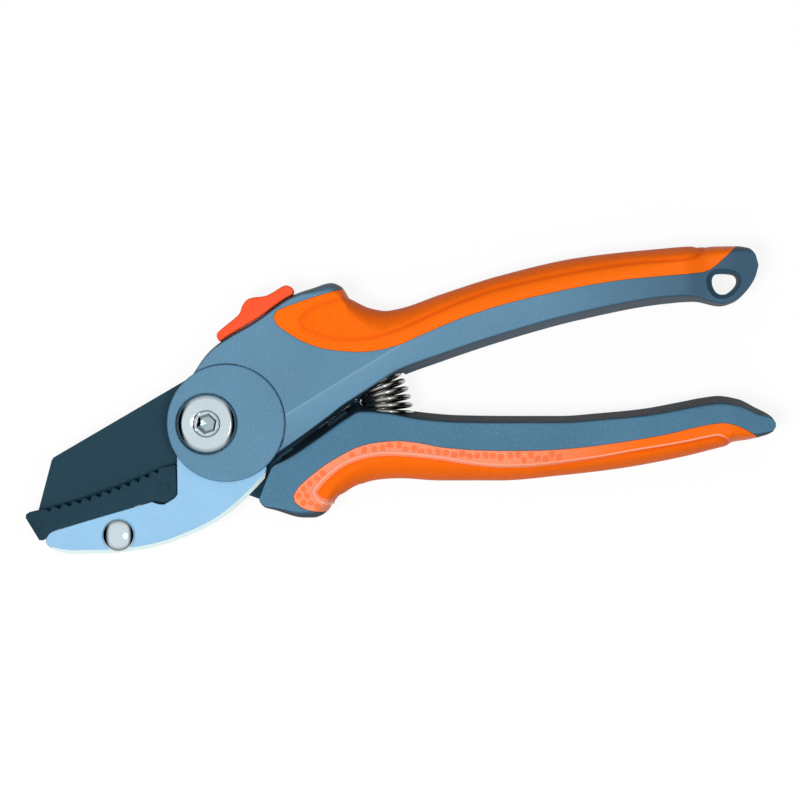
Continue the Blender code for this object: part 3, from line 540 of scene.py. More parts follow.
# %% Group: lines left by a belt on steel
def make_brushed_steel():
    tree, given, out = new_group("brushed_steel", [
        ("Colour", COLOUR, GREY), ("Line Colour", COLOUR, WHITE), ("Lines", FLOAT, 0.4),
        ("Direction", VECTOR, (0, 0, 0)), ("Roughness", FLOAT, 0.3)], SKIN_OUTPUTS)
    place = coordinates(tree)
    spun = new_node(tree, "ShaderNodeVectorRotate", {
        "Vector": place, "Rotation": given["Direction"]}, rotation_type="EULER_XYZ")
    drawn_out = new_node(tree, "ShaderNodeMapping", {
        "Vector": spun.outputs[0], "Scale": (90.0, 3600.0, 900.0)})
    lines = noise_of(tree, drawn_out.outputs[0], 1.0, 3.0)
    clouds = ranged(tree, noise_of(tree, place, 110.0), 0.3, 0.7, 0.93, 1.0)
    share = maths(tree, "MULTIPLY", ranged(tree, lines, 0.4, 0.68), given["Lines"])
    toned = blended(tree, 1.0, given["Colour"], clouds, "MULTIPLY")
    change = ranged(tree, lines, 0.3, 0.7, -0.07, 0.07)
    plug(tree, out["Colour"], blended(tree, share, toned, given["Line Colour"]))
    plug(tree, out["Roughness"], maths(tree, "ADD", given["Roughness"], change))
    plug(tree, out["Height"], lines)
    return tree


MOULDED_SKIN = make_moulded_skin()
BRUSHED_STEEL = make_brushed_steel()


# %% Material helpers
GRAIN_DEPTH = 0.00004


def new_finish(name, group, settings, metallic=0.0, bump=0.4, specular=0.5):
    """A material whose colour, roughness and grain come from a group."""
    made = bpy.data.materials.new(name)
    made.use_nodes = True
    tree = made.node_tree
    effect = new_node(tree, "ShaderNodeGroup", node_tree=group)
    for title, value in settings.items():
        plug(tree, effect.inputs[title], value)
    grain = new_node(tree, "ShaderNodeBump", {
        "Strength": bump, "Distance": GRAIN_DEPTH, "Height": effect.outputs["Height"]})
    shader = tree.nodes["Principled BSDF"].inputs
    plug(tree, shader["Metallic"], metallic)
    plug(tree, shader["Specular IOR Level"], specular)
    plug(tree, shader["Base Color"], effect.outputs["Colour"])
    plug(tree, shader["Roughness"], effect.outputs["Roughness"])
    plug(tree, shader["Normal"], grain.outputs["Normal"])
    return made


def moulded(name, colour, fleck_colour, flecks, drift, roughness, **more):
    return new_finish(name, MOULDED_SKIN, {
        "Colour": colour, "Fleck Colour": fleck_colour, "Flecks": flecks, "Drift": drift,
        "Roughness": roughness}, **more)


def steel(name, colour, line_colour, lines, roughness, degrees=0.0, **more):
    """Steel whose lines run along X, turned by so many degrees."""
    return new_finish(name, BRUSHED_STEEL, {
        "Colour": colour, "Line Colour": line_colour, "Lines": lines, "Roughness": roughness,
        "Direction": (0.0, 0.0, math.radians(degrees))}, **more)


def attribute(tree, name):
    return new_node(tree, "ShaderNodeAttribute", attribute_name=name).outputs["Fac"]


def base_colour(material):
    """The material's Base Color socket, and what feeds it so far."""
    socket = material.node_tree.nodes["Principled BSDF"].inputs["Base Color"]
    return socket, socket.links[0].from_socket


# %% The plastics
# Each has its colour, its flecks' colour and share, its drift of tone, and its roughness.
SLATE = moulded(
    "slate_plastic", (0.118, 0.262, 0.390), (0.28, 0.43, 0.56), 0.4, 0.10, 0.56, specular=0.3)
# The lower handle's slate is the same plastic made darker: painted shade, as its face is less lit.
SHADED_SLATE_LOWER = moulded(
    "slate_plastic_lower_shaded", (0.078, 0.200, 0.308), (0.24, 0.39, 0.52), 0.35, 0.12, 0.6, specular=0.2)
RED = moulded(
    "red_lock", (1.0, 0.088, 0.018), (1.0, 0.26, 0.14), 0.15, 0.05, 0.42, bump=0.15, specular=0.35)
NYLON = moulded(
    "anvil_nylon", (0.013, 0.044, 0.068), (0.07, 0.13, 0.17), 0.25, 0.2, 0.55, specular=0.2)
RUBBER = moulded(
    "bumper_rubber", (0.008, 0.020, 0.030), (0.05, 0.08, 0.10), 0.3, 0.15, 0.72, specular=0.2)
WASHER = moulded(
    "washer_plastic", (0.72, 0.72, 0.68), (0.8, 0.8, 0.76), 0.2, 0.05, 0.45, bump=0.2)

# %% The metals
# Each has its colour, its lines' colour and share, its roughness, and how its lines are turned.
SATIN = steel(
    "satin_steel", (0.30, 0.56, 0.80), (0.40, 0.67, 0.90), 0.25, 0.42, 20, metallic=0.25, bump=0.25)
COATED = steel(
    "coated_steel", (0.010, 0.041, 0.064), (0.017, 0.052, 0.076), 0.3, 0.5, -27, bump=0.12,
    specular=0.25)
CHROME = steel(
    "chrome", (0.66, 0.74, 0.76), (0.72, 0.79, 0.81), 0.2, 0.09, metallic=1.0, bump=0.03)
SPRING_STEEL = steel(
    "spring_steel", (0.36, 0.35, 0.32), (0.75, 0.73, 0.66), 0.4, 0.16, metallic=1.0, bump=0.1)
PIN_STEEL = steel(
    "pin_steel", (0.50, 0.51, 0.52), (0.62, 0.63, 0.64), 0.4, 0.34, metallic=1.0, bump=0.1)
BRONZE = steel(
    "bronze", (0.50, 0.32, 0.15), (0.62, 0.42, 0.22), 0.4, 0.4, metallic=1.0, bump=0.1)

# The anvil plates' wide chamfer gets a painted highlight: its mesh marks the chamfer's faces with
# an attribute, and there the colour goes near white.
into, base = base_colour(SATIN)
ground = attribute(SATIN.node_tree, "ground")
plug(SATIN.node_tree, into, blended(SATIN.node_tree, ground, base, (0.84, 1.0, 1.0)))


# %% [markdown]
# The soft grip has two skins in one moulding: smooth, slightly glossy bands, and pads whose face
# is covered with flat pebbles. Three float attributes on the grip's mesh steer the colour: `band`
# says how much the surface is smooth band, another one where a painted highlight makes the band
# paler towards the front, and `seam` where a pebble ends or the groove runs, which gets painted
# shade.

# %% The soft grip's finish
# Painted shade for the seams between pebbles and for the groove
SEAM_SHADE_COLOUR = (0.78, 0.062, 0.002)
# Painted highlight for the front of the band
PAINTED_SHEEN_COLOUR = (1.0, 0.31, 0.17)


def make_orange():
    made = moulded("orange_grip", (1.0, 0.160, 0.003), (1.0, 0.24, 0.03), 0.2, 0.05, 0.5, bump=0.3,
                   specular=0.1)
    tree = made.node_tree
    into, base = base_colour(made)
    roughness = tree.nodes["Principled BSDF"].inputs["Roughness"]
    rough = roughness.links[0].from_socket
    # Painted shade in the seams and the groove
    seam = maths(tree, "MULTIPLY", attribute(tree, "seam"), 0.6)
    # Painted highlight on the band
    painted_sheen = maths(tree, "MULTIPLY", attribute(tree, "painted_sheen"), 0.9)
    gloss = maths(tree, "MULTIPLY", attribute(tree, "band"), 0.12)
    seamed = blended(tree, seam, base, SEAM_SHADE_COLOUR)
    plug(tree, into, blended(tree, painted_sheen, seamed, PAINTED_SHEEN_COLOUR))
    plug(tree, roughness, maths(tree, "SUBTRACT", rough, gloss))
    return made


ORANGE = make_orange()
PEBBLE = moulded(
    "grip_pebble", (1.0, 0.195, 0.060), (1.0, 0.28, 0.12), 0.2, 0.1, 0.45, bump=0.3, specular=0.3)
# The bead's pale peach colour is a painted highlight on the orange rubber.
BEAD = moulded(
    "grip_bead", (1.0, 0.36, 0.22), (1.0, 0.42, 0.28), 0.2, 0.05, 0.25, bump=0.1)

# %% [markdown]
# Slate walls that stand upright are painted darker than the faces: this is painted shade, for the
# walls between the handles that face away from the light. The mask is the object-space normal: 0
# on a face that lies flat, and 1 on an upright wall.

# %% Painted shade on upright walls
def paint_wall_shade(material, colour, most):
    tree = material.node_tree
    into, base = base_colour(material)
    normal = new_node(tree, "ShaderNodeSeparateXYZ", {"Vector": coordinates(tree, "Normal")})
    level = maths(tree, "ABSOLUTE", normal.outputs["Z"])
    upright = ranged(tree, level, 0.30, 0.85, most, 0.0)
    plug(tree, into, blended(tree, upright, base, colour))


# %% [markdown]
# The head's face has a painted highlight along its crease and a paler painted band beside it,
# and the handle's tail is darkened with painted shade. Both depend only on where a point lies, so
# the upper body's slate measures it in object coordinates.

# %% The upper body's slate
CREASE = ((23.1, 3.3), (53.9, 22.0))
CREASE_HIGHLIGHT_FADE = (50, 66)      # along X
TAIL_SHADE_FADE = (92, 148)


def make_slate_with_painted_light(start, end):
    """Slate with a painted highlight along a crease, a paler painted band beyond it, and a tail
    darkened by painted shade.
    """
    made = SLATE.copy()
    made.name = "slate_plastic_upper"
    tree = made.node_tree
    into, base = base_colour(made)
    place = coordinates(tree)
    along_x = new_node(tree, "ShaderNodeSeparateXYZ", {"Vector": place}).outputs["X"]
    way = (Vector(end) - Vector(start)).normalized()
    across = new_node(tree, "ShaderNodeVectorMath", operation="DOT_PRODUCT")
    plug(tree, across.inputs[0], place)
    plug(tree, across.inputs[1], (way.y / MM, -way.x / MM, 0.0))
    start_off = start[0] * way.y - start[1] * way.x
    off = maths(tree, "SUBTRACT", across.outputs["Value"], start_off)

    def x_fade(from_to, before, after):
        return ranged(tree, along_x, from_to[0] * MM, from_to[1] * MM, before, after)

    def stripe(colour_below, colour, share, rise, fall):
        """A colour where off is between rise and fall, fading out along X."""
        mask = maths(tree, "MULTIPLY", ranged(tree, off, *rise), ranged(tree, off, *fall, 1.0, 0.0))
        mask = maths(tree, "MULTIPLY", mask, x_fade(CREASE_HIGHLIGHT_FADE, 1.0, 0.0))
        return blended(tree, maths(tree, "MULTIPLY", mask, share), colour_below, colour)

    # Painted highlight: a paler band below the crease, and a pale line along it
    painted_band = stripe(base, (0.165, 0.325, 0.460), 0.55, (0.0, 0.2), (0.5, 7.0))
    crease_highlight = stripe(painted_band, (0.30, 0.50, 0.64), 0.35, (-0.25, 0.05), (0.1, 0.55))
    # Painted shade that darkens the tail
    tail = x_fade(TAIL_SHADE_FADE, 0.0, 0.96)
    plug(tree, into, blended(tree, tail, crease_highlight, (0.035, 0.085, 0.135)))
    return made


SLATE_UPPER = make_slate_with_painted_light(*CREASE)
# Painted shade on the upright walls of both handles
paint_wall_shade(SLATE_UPPER, (0.022, 0.042, 0.066), 0.80)
paint_wall_shade(SHADED_SLATE_LOWER, (0.004, 0.006, 0.009), 0.94)

# %% CAD nodes whose shape is right keep it and take a finish
KEPT = [(NYLON, "anvil_insert_pin_1", "anvil_insert_pin_2"),
        (PIN_STEEL, "arm_pin_1", "arm_pin_2", "tang_pin_1", "tang_pin_2", "lock_pin", "lock_catch"),
        (WASHER, "friction_washer_front", "friction_washer_rear"),
        (BRONZE, "pivot_bush")]
for finish, *names in KEPT:
    for name in names:
        nodes[name].data.materials.clear()
        nodes[name].data.materials.append(finish)

# %% [markdown]
# ## The handles
# Each handle is a skin over many cross-sections. A section starts at the parting line on the gap
# side, climbs a drafted wall, turns over a small bevel onto the flat face, and rolls round the
# palm side in a quarter ellipse. The guides below give the palm edge, the gap edge and the
# thickness along the handle. The orange grip is the same skin, kept inside its outline and
# hollowed by a slightly smaller one, so it is a real overmould: a sleeve that wraps the palm side
# of the slate core.

# %% Guides of both handles, in millimetres
GRIP_HALF = 9.5
UPPER_PALM = [(-4.6, 13.0), (-0.1, 19.5), (3.6, 22.8), (13.6, 28.9), (24.0, 36.0), (29.4, 37.9),
              (34.7, 39.4), (37.4, 38.4), (39.8, 35.2), (42.5, 33.5), (46.0, 32.1), (49.8, 31.5),
              (54.0, 32.2), (65.0, 36.0), (82.0, 41.4), (104.0, 46.4), (127.0, 48.9),
              (135.4, 49.5), (137.0, 49.2), (139.0, 49.5), (148.0, 49.7), (151.4, 49.2),
              (153.2, 47.4), (153.8, 45.0)]
UPPER_GAP = [(-4.6, -2.0), (14.0, -12.9), (20.8, -8.65), (33.1, 0.15), (39.0, 4.6), (48.6, 10.2),
             (53.9, 13.1), (65.0, 17.2), (82.0, 22.9), (104.0, 29.0), (127.0, 33.4), (136.0, 34.1),
             (143.3, 32.8), (147.0, 33.8), (150.4, 36.6), (152.9, 40.4), (153.8, 43.6)]
LOWER_PALM = [(14.7, -21.7), (15.9, -23.3), (19.0, -24.2), (27.1, -26.3), (29.7, -26.3),
              (31.8, -25.7), (34.0, -24.0), (35.0, -22.4), (37.4, -19.9), (42.7, -16.9),
              (48.3, -15.5), (53.9, -15.2), (65.0, -15.8), (82.0, -15.8), (98.7, -14.4),
              (115.5, -12.4), (132.3, -9.3), (143.5, -6.5), (145.8, -5.9), (146.6, -5.2),
              (151.5, -4.4), (155.5, -3.4), (158.2, -2.2), (158.7, -1.2)]
LOWER_GAP = [(14.7, -20.7), (17.6, -12.2), (18.4, -10.5), (20.8, -8.7), (33.1, 0.12), (39.0, 4.55),
             (42.3, 6.3), (43.6, 6.2), (47.0, 5.6), (51.6, 4.8), (59.5, 3.3), (70.7, 2.4),
             (85.0, 2.2), (98.7, 2.2), (109.9, 3.0), (121.1, 4.1), (132.3, 6.1), (137.9, 7.2),
             (142.9, 7.8), (148.5, 6.9), (153.0, 4.7), (158.2, 1.7), (158.7, 0.6)]
UPPER_SWELL = [(-4.6, 0.0), (22.0, 0.0), (40.0, 0.9), (58.0, 1.0), (132.0, 1.0), (140.0, 0.15),
               (147.0, -0.1), (153.8, -0.5)]
LOWER_SWELL = [(14.7, 0.0), (22.0, 0.0), (40.0, 0.9), (58.0, 1.0), (144.0, 1.0), (152.0, 0.2),
               (158.7, -0.8)]
UPPER_ROUND = [(-4.6, 1.0), (24.0, 1.2), (34.0, 3.0), (42.0, 5.5), (50.0, 7.5), (110.0, 7.0),
               (136.0, 4.0), (148.0, 2.0), (153.8, 0.6)]
LOWER_ROUND = [(14.7, 0.3), (22.0, 1.6), (30.0, 3.0), (36.0, 6.0), (50.0, 7.5), (110.0, 6.5),
               (140.0, 4.5), (152.0, 2.0), (158.7, 0.5)]
UPPER_BEVEL = [(-4.6, 1.45), (40.0, 1.45), (54.0, 2.4), (104.0, 2.3), (130.0, 2.0), (140.0, 1.0),
               (153.8, 0.4)]
LOWER_BEVEL = [(14.7, 0.3), (18.1, 1.45), (25.0, 3.1), (34.0, 3.3), (40.5, 3.7), (47.0, 2.7),
               (53.0, 2.3), (104.0, 2.0), (143.0, 2.4), (153.0, 2.0), (158.7, 0.4)]
UPPER_GRIP_EDGE = [(18.7, 29.7), (19.4, 27.9), (21.4, 26.2), (25.9, 23.4), (31.5, 21.2),
                   (37.1, 20.3), (42.7, 20.0), (48.3, 20.6), (53.9, 22.1), (59.5, 24.6),
                   (70.7, 29.3), (81.9, 33.0), (93.1, 35.8), (104.3, 38.2), (115.5, 40.0),
                   (126.7, 41.1), (137.9, 42.2), (140.8, 43.4), (143.5, 45.6), (148.4, 50.2),
                   (149.0, 56.0), (42.0, 56.0), (41.0, 38.6), (37.4, 37.4), (30.0, 35.3),
                   (21.4, 32.3), (19.4, 31.2)]
LOWER_GRIP_EDGE = [(24.2, -20.0), (24.6, -21.8), (27.1, -23.6), (31.2, -24.5), (34.6, -24.4),
                   (36.0, -32.0), (155.0, -32.0), (155.4, -5.2), (153.6, -3.7), (149.1, -1.2),
                   (146.2, -0.2), (143.5, 0.2), (137.9, -0.6), (126.7, -3.2), (115.5, -5.1),
                   (104.3, -6.6), (93.1, -7.4), (76.3, -7.4), (65.1, -6.5), (59.5, -5.4),
                   (53.9, -4.8), (48.3, -5.1), (42.7, -6.3), (37.1, -9.0), (31.5, -12.6),
                   (25.9, -17.4)]
# The line that parts the smooth band from the pebbled pad, on the upper and on the lower grip.
UPPER_LOOP = [(39.9, 35.3), (35.3, 34.4), (30.4, 32.7), (27.6, 31.0), (25.7, 28.8), (26.6, 27.1),
              (29.0, 25.7), (32.8, 24.2), (37.7, 23.5), (42.5, 23.5), (47.3, 24.2), (53.9, 26.4),
              (60.6, 29.5), (70.8, 34.0), (81.0, 37.5), (94.6, 40.7), (108.2, 43.3), (121.7, 45.0),
              (133.0, 45.7), (136.6, 46.7), (139.6, 49.6)]
LOWER_LOOP = [(37.1, -20.0), (35.1, -21.1), (32.0, -20.8), (30.5, -18.9), (33.2, -15.7),
              (37.9, -11.9), (42.5, -9.9), (47.2, -8.9), (51.8, -8.7), (58.8, -9.2), (65.7, -10.0),
              (72.7, -11.2), (79.7, -12.0), (87.5, -12.1), (94.5, -11.6), (109.5, -9.6),
              (117.8, -8.1), (131.6, -5.8), (139.9, -4.1), (142.7, -3.8), (146.0, -5.6)]


# %% Cross-sections
WALL = 0.93                             # the drafted wall's height, in half thicknesses
FOOT, KNEE, REST = 0.85, 0.98, 1.25     # where the wall ends and the face begins, in bevels
BEVEL_STEPS = 5


class Handle:
    """The guides of one handle. side is +1 where the palm lies above the gap in Y, else -1."""

    def __init__(self, side, thin_half, palm, gap, swell, rounding, bevel):
        self.side = side
        self.thin_half = thin_half
        self.palm, self.gap, self.swell, self.rounding, self.bevel = map(
            curve_through, (palm, gap, swell, rounding, bevel))
        self.start, self.end = palm[0][0], palm[-1][0]

    def half(self, x):
        return self.thin_half + (GRIP_HALF - self.thin_half) * self.swell(x)

    def half_section(self, x, skin, back, detail):
        """(y, height) from the parting line on the gap side, over the face, to the palm."""
        palm = self.palm(x) - self.side * back
        gap = self.gap(x) + self.side * skin * 0.5
        half = self.half(x) - skin
        # Where the handle is narrow, the bevel and the rounding each take only a share of it.
        room = abs(palm - gap)
        bevel = min(self.bevel(x), room * 0.3)
        rounding = min(self.rounding(x), room * 0.6)
        points = [(gap + self.side * bevel * FOOT * k / detail, half * WALL * k / detail)
                  for k in range(detail)]
        foot, knee, rest = (bevel * FOOT, half * WALL), (bevel * KNEE, half), (bevel * REST, half)
        for k in range(BEVEL_STEPS + 1):
            t = k / BEVEL_STEPS
            y, z = (a * (1 - t) ** 2 + 2 * b * t * (1 - t) + c * t * t
                    for a, b, c in zip(foot, knee, rest))
            points.append((gap + self.side * y, z))
        flat_from, flat_to = gap + self.side * rest[0], palm - self.side * rounding
        steps = detail * 3
        for k in range(1, steps):
            points.append((flat_from + (flat_to - flat_from) * k / steps, half))
        for k in range(steps):
            angle = math.radians(90 - 90 * k / steps)
            in_from_palm = rounding * (1 - math.cos(angle))
            points.append((palm - self.side * in_from_palm, half * math.sin(angle)))
        return points + [(palm, 0.0)]

    def skin(self, name, step=0.6, skin=0.0, back=0.0, detail=9, reshape=None):
        """The closed skin; reshape moves a point (x, y, z) of the finished skin."""
        inset = 0.01 * (self.end - self.start) if skin else 0.0
        count = max(2, round((self.end - self.start) / step))
        rings = []
        for i in range(count + 1):
            x = self.start + inset + (self.end - self.start - 2 * inset) * i / count
            front = self.half_section(x, skin, back, detail)
            rear = [(y, -z) for y, z in reversed(front[1:-1])]
            ring = [(x, y, z) for y, z in front + rear]
            rings.append([reshape(*p) for p in ring] if reshape else ring)
        return skin_over(name, rings)


UPPER = Handle(1, 6.4, UPPER_PALM, UPPER_GAP, UPPER_SWELL, UPPER_ROUND, UPPER_BEVEL)
LOWER = Handle(-1, 6.8, LOWER_PALM, LOWER_GAP, LOWER_SWELL, LOWER_ROUND, LOWER_BEVEL)


# %% [markdown]
# The head isn't one plane: below a crease that runs from the disc to the grip, the face falls
# away towards the gap and catches more light. The lower handle has a softer fall near its front
# end.

# %% Creases on the faces
def eased(value, low, high):
    t = min(max((value - low) / (high - low), 0.0), 1.0)
    return t * t * (3 - 2 * t)


def fall_beyond(line, slope, fade_from, fade_to):
    """A reshape that lowers the faces on the right-hand side of a line, fading out along X."""
    start, end = Vector(line[0]), Vector(line[1])
    way = (end - start).normalized()

    def reshape(x, y, z):
        off = (x - start.x) * way.y - (y - start.y) * way.x
        drop = max(off, 0.0) * slope * (1 - eased(x, fade_from, fade_to))
        if abs(z) < 3.0:
            drop *= abs(z) / 3.0
        return (x, y, z - math.copysign(drop, z) if z else z)

    return reshape


UPPER_FALL = fall_beyond(CREASE, 0.2, 46.0, 72.0)
LOWER_FALL = fall_beyond(((62.0, 5.0), (30.0, -2.6)), 0.05, 30.0, 60.0)


# %% [markdown]
# The soft grip has relief: a groove runs along the line between band and pad, the pad swells a
# little inside it, and its face is covered with pebbles. A piece of skin is moved along its own
# normals by the height that these give, before the grip is cut out of it.

# %% Distances to a line
def line_distance(line, points):
    """Distance of each row of points from an open line, positive on its left."""
    path = np.array(refined(line, 1.0, corner=60.0, closed=False))
    best = np.full(len(points), 1e9)
    for one, two in zip(path, path[1:]):
        step = two - one
        share = np.clip((points - one) @ step / (step @ step), 0, 1)
        gap = points - (one + share[:, None] * step)
        far = np.hypot(gap[:, 0], gap[:, 1])
        side = np.where(step[0] * gap[:, 1] - step[1] * gap[:, 0] > 0, 1.0, -1.0)
        best = np.where(far < np.abs(best), far * side, best)
    return best


def eased_all(values, low, high):
    t = np.clip((values - low) / (high - low), 0, 1)
    return t * t * (3 - 2 * t)


PEBBLE_SIZE = 1.9
PAD_SWELL = 0.10        # how far the pad stands above the band
GROOVE_DEPTH, GROOVE_WIDTH = 0.20, 0.55
SEAM_DEPTH = 0.04


def pebble_seams(points):
    """1 in the seams between pebbles and 0 on their tops."""
    gaps = []
    for point in points:
        cells, _ = noise.voronoi(Vector(point) / PEBBLE_SIZE)
        gaps.append(cells[1] - cells[0])
    return 1.0 - eased_all(np.array(gaps), 0.0, 0.15)


def relief_of(loop, pad_side, painted_sheen_to):
    """A function that gives, at each point, a grip's relief and its band, painted highlight and
    painted seam shade.
    """
    def relief(points):
        off = line_distance(loop, points[:, :2]) * pad_side
        band = 1.0 - eased_all(off, 0.0, 0.3)
        seam = pebble_seams(points) * eased_all(off, 0.7, 1.3)
        groove = np.exp(-((off - 0.1) / GROOVE_WIDTH) ** 2)
        height = PAD_SWELL * eased_all(off, 0.2, 1.6) - GROOVE_DEPTH * groove - SEAM_DEPTH * seam
        # Painted shade: a colour mask that darkens the seams and the groove
        seam = np.clip(0.35 * seam + 0.8 * groove, 0, 1)
        # Painted highlight on the band, fading out along X and kept to the faces
        painted_sheen = band * (1 - eased_all(points[:, 0], painted_sheen_to - 45.0, painted_sheen_to))
        return height, band, painted_sheen * eased_all(np.abs(points[:, 2]), 3.0, 5.5), seam

    return relief


# %% Skin with relief
def with_relief(piece, relief):
    """Moves the skin's points along their normals, and writes what the colour needs."""
    mesh = piece.data
    places = np.array([v.co for v in mesh.vertices])
    normals = np.array([v.normal for v in mesh.vertices])
    height, *marks = relief(places / MM - np.array((0.0, 0.0, MIDDLE)))
    mesh.vertices.foreach_set("co", (places + normals * height[:, None] * MM).ravel())
    for name, values in zip(("band", "painted_sheen", "seam"), marks):
        mark = mesh.attributes.new(name, "FLOAT", "POINT")
        mark.data.foreach_set("value", values.astype(np.float32))
    mesh.update()
    return piece


GRIP_SKIN = 1.6         # how thick the grip is over the faces
GRIP_BACK = 2.0         # and over the palm
BED_PLAY = 0.2          # between the grip's inside and its bed
SHUT_OFF = 0.10         # open line between slate and orange
FAR = 14.0              # past every face of the tool


def make_grip(handle, name, edge, relief):
    outline = refined(edge, 0.7)
    grip = with_relief(handle.skin(name, step=0.36, detail=13), relief)
    combined(grip, plate("area", outline, -FAR, FAR), "INTERSECT")
    return combined(grip, handle.skin("inside", 1.5, GRIP_SKIN, GRIP_BACK, 5))


def make_core(handle, name, edge, fall):
    """The slate body, with a bed cut for the grip."""
    outline = grown(refined(edge, 0.7), SHUT_OFF)
    bed = plate("bed", outline, -FAR, FAR)
    combined(bed, handle.skin("core", 1.5, GRIP_SKIN + BED_PLAY, GRIP_BACK + BED_PLAY, 5))
    return combined(handle.skin(name, step=0.7, detail=9, reshape=fall), bed)


# %% Both grips
upper_grip = make_grip(UPPER, "upper_grip_skin", UPPER_GRIP_EDGE, relief_of(UPPER_LOOP, 1, 0.0))
placed(upper_grip, ORANGE, "orange_grip", "upper_handle", "upper_grip")
lower_grip = make_grip(LOWER, "lower_grip_skin", LOWER_GRIP_EDGE, relief_of(LOWER_LOOP, -1, 125.0))
placed(lower_grip, ORANGE, "orange_grip", "lower_handle", "lower_grip")


# %% [markdown]
# The lower grip has two details that stand on its band. A glossy bead runs along the line between
# band and pad, and flat pebbles are scattered over the band's front end, each an island of its
# own. Both repeat or follow the surface, so Geometry Nodes make them: one tree sweeps a flattened
# profile along a line that lies on the skin, and the other scatters pebbles over a patch of the
# skin at a least distance from each other.

# %% Node tools
def new_tree(name, inputs):
    """A Geometry Nodes tree: its given sockets, and a function that ends it with a finish."""
    tree = bpy.data.node_groups.new(name, "GeometryNodeTree")
    tree.interface.new_socket("Geometry", in_out="INPUT", socket_type="NodeSocketGeometry")
    for title, kind, value in inputs:
        socket = tree.interface.new_socket(title, in_out="INPUT", socket_type=kind)
        socket.default_value = value
    tree.interface.new_socket("Finish", in_out="INPUT", socket_type="NodeSocketMaterial")
    tree.interface.new_socket("Geometry", in_out="OUTPUT", socket_type="NodeSocketGeometry")
    given = tree.nodes.new("NodeGroupInput").outputs

    def end_with(geometry):
        real = new_node(tree, "GeometryNodeRealizeInstances", {"Geometry": geometry})
        painted = new_node(tree, "GeometryNodeSetMaterial", {
            "Geometry": real.outputs["Geometry"], "Material": given["Finish"]})
        new_node(tree, "NodeGroupOutput", {"Geometry": painted.outputs["Geometry"]})

    return tree, given, end_with


def grown_by_nodes(name, tree, settings, start=None):
    """A mesh object made by a tree from a start mesh; settings go by the inputs' names."""
    made = bpy.data.objects.new(name, start or bpy.data.meshes.new(name))
    scene.collection.objects.link(made)
    modifier = made.modifiers.new("rule", "NODES")
    modifier.node_group = tree
    for item in tree.interface.items_tree:
        if item.in_out == "INPUT" and item.name in settings:
            modifier[item.identifier] = settings[item.name]
    return settled(made)


def combined_xyz(tree, x=0.0, y=0.0, z=0.0):
    return first_output(tree, "ShaderNodeCombineXYZ", x, y, z)


def swept_tube(tree, path, profile, scale=None):
    """A closed tube with a profile curve swept along a path."""
    return new_node(tree, "GeometryNodeCurveToMesh", {
        "Curve": path, "Profile Curve": profile, "Scale": scale, "Fill Caps": True}).outputs["Mesh"]


# %% The bead's tree
def make_bead_tree():
    tree, given, end_with = new_tree("bead_on_line", [
        ("Half Width", FLOAT, 0.00058), ("Flatness", FLOAT, 0.75)])
    line = new_node(tree, "GeometryNodeMeshToCurve", {"Mesh": given["Geometry"]})
    upright = new_node(tree, "GeometryNodeSetCurveNormal", {"Curve": line.outputs["Curve"]},
                       mode="Z_UP")
    ring = new_node(tree, "GeometryNodeCurvePrimitiveCircle", {
        "Resolution": 14, "Radius": given["Half Width"]})
    oval = new_node(tree, "GeometryNodeTransform", {
        "Geometry": ring.outputs["Curve"],
        "Scale": combined_xyz(tree, 1.0, given["Flatness"], 1.0)})
    taper = new_node(tree, "GeometryNodeInputNamedAttribute", {"Name": "taper"}, data_type="FLOAT")
    end_with(swept_tube(tree, upright.outputs["Curve"], oval.outputs["Geometry"],
                        taper.outputs["Attribute"]))
    return tree


# %% The pebbles' tree
def random_number(tree, seed, low, high):
    """A random number for each point."""
    made = new_node(tree, "FunctionNodeRandomValue", {"Seed": seed}, data_type="FLOAT")
    for socket, value in zip([i for i in made.inputs if i.type == "VALUE"], (low, high)):
        socket.default_value = value
    return [o for o in made.outputs if o.type == "VALUE"][0]


def make_pebble_tree():
    tree, given, end_with = new_tree("pebbles_on_skin", [
        ("Least Distance", FLOAT, 0.00205), ("Radius", FLOAT, 0.00108),
        ("Thickness", FLOAT, 0.00014)])
    spread = new_node(tree, "GeometryNodeDistributePointsOnFaces", {
        "Mesh": given["Geometry"], "Distance Min": given["Least Distance"],
        "Density Max": 4000000.0, "Seed": 7}, distribute_method="POISSON").outputs
    form = new_node(tree, "GeometryNodeMeshCone", {
        "Vertices": 7, "Radius Bottom": given["Radius"],
        "Radius Top": maths(tree, "MULTIPLY", given["Radius"], 0.86), "Depth": given["Thickness"]})
    length = random_number(tree, 1, 0.85, 1.1)
    width = random_number(tree, 2, 0.7, 0.95)
    turn = random_number(tree, 3, 0.0, 6.28)
    stuck = new_node(tree, "GeometryNodeInstanceOnPoints", {
        "Points": spread["Points"], "Instance": form.outputs["Mesh"],
        "Rotation": spread["Rotation"], "Scale": combined_xyz(tree, length, width, 1.0)})
    spun = new_node(tree, "GeometryNodeRotateInstances", {
        "Instances": stuck.outputs["Instances"], "Rotation": combined_xyz(tree, z=turn)})
    depth = maths(tree, "MULTIPLY", given["Thickness"], -0.45)
    sunk = new_node(tree, "GeometryNodeTranslateInstances", {
        "Instances": spun.outputs["Instances"], "Translation": combined_xyz(tree, z=depth)})
    end_with(sunk.outputs["Instances"])
    return tree


# %% The bead's line lies on the grip's skin, on both faces
BEAD_SINK = 0.00005


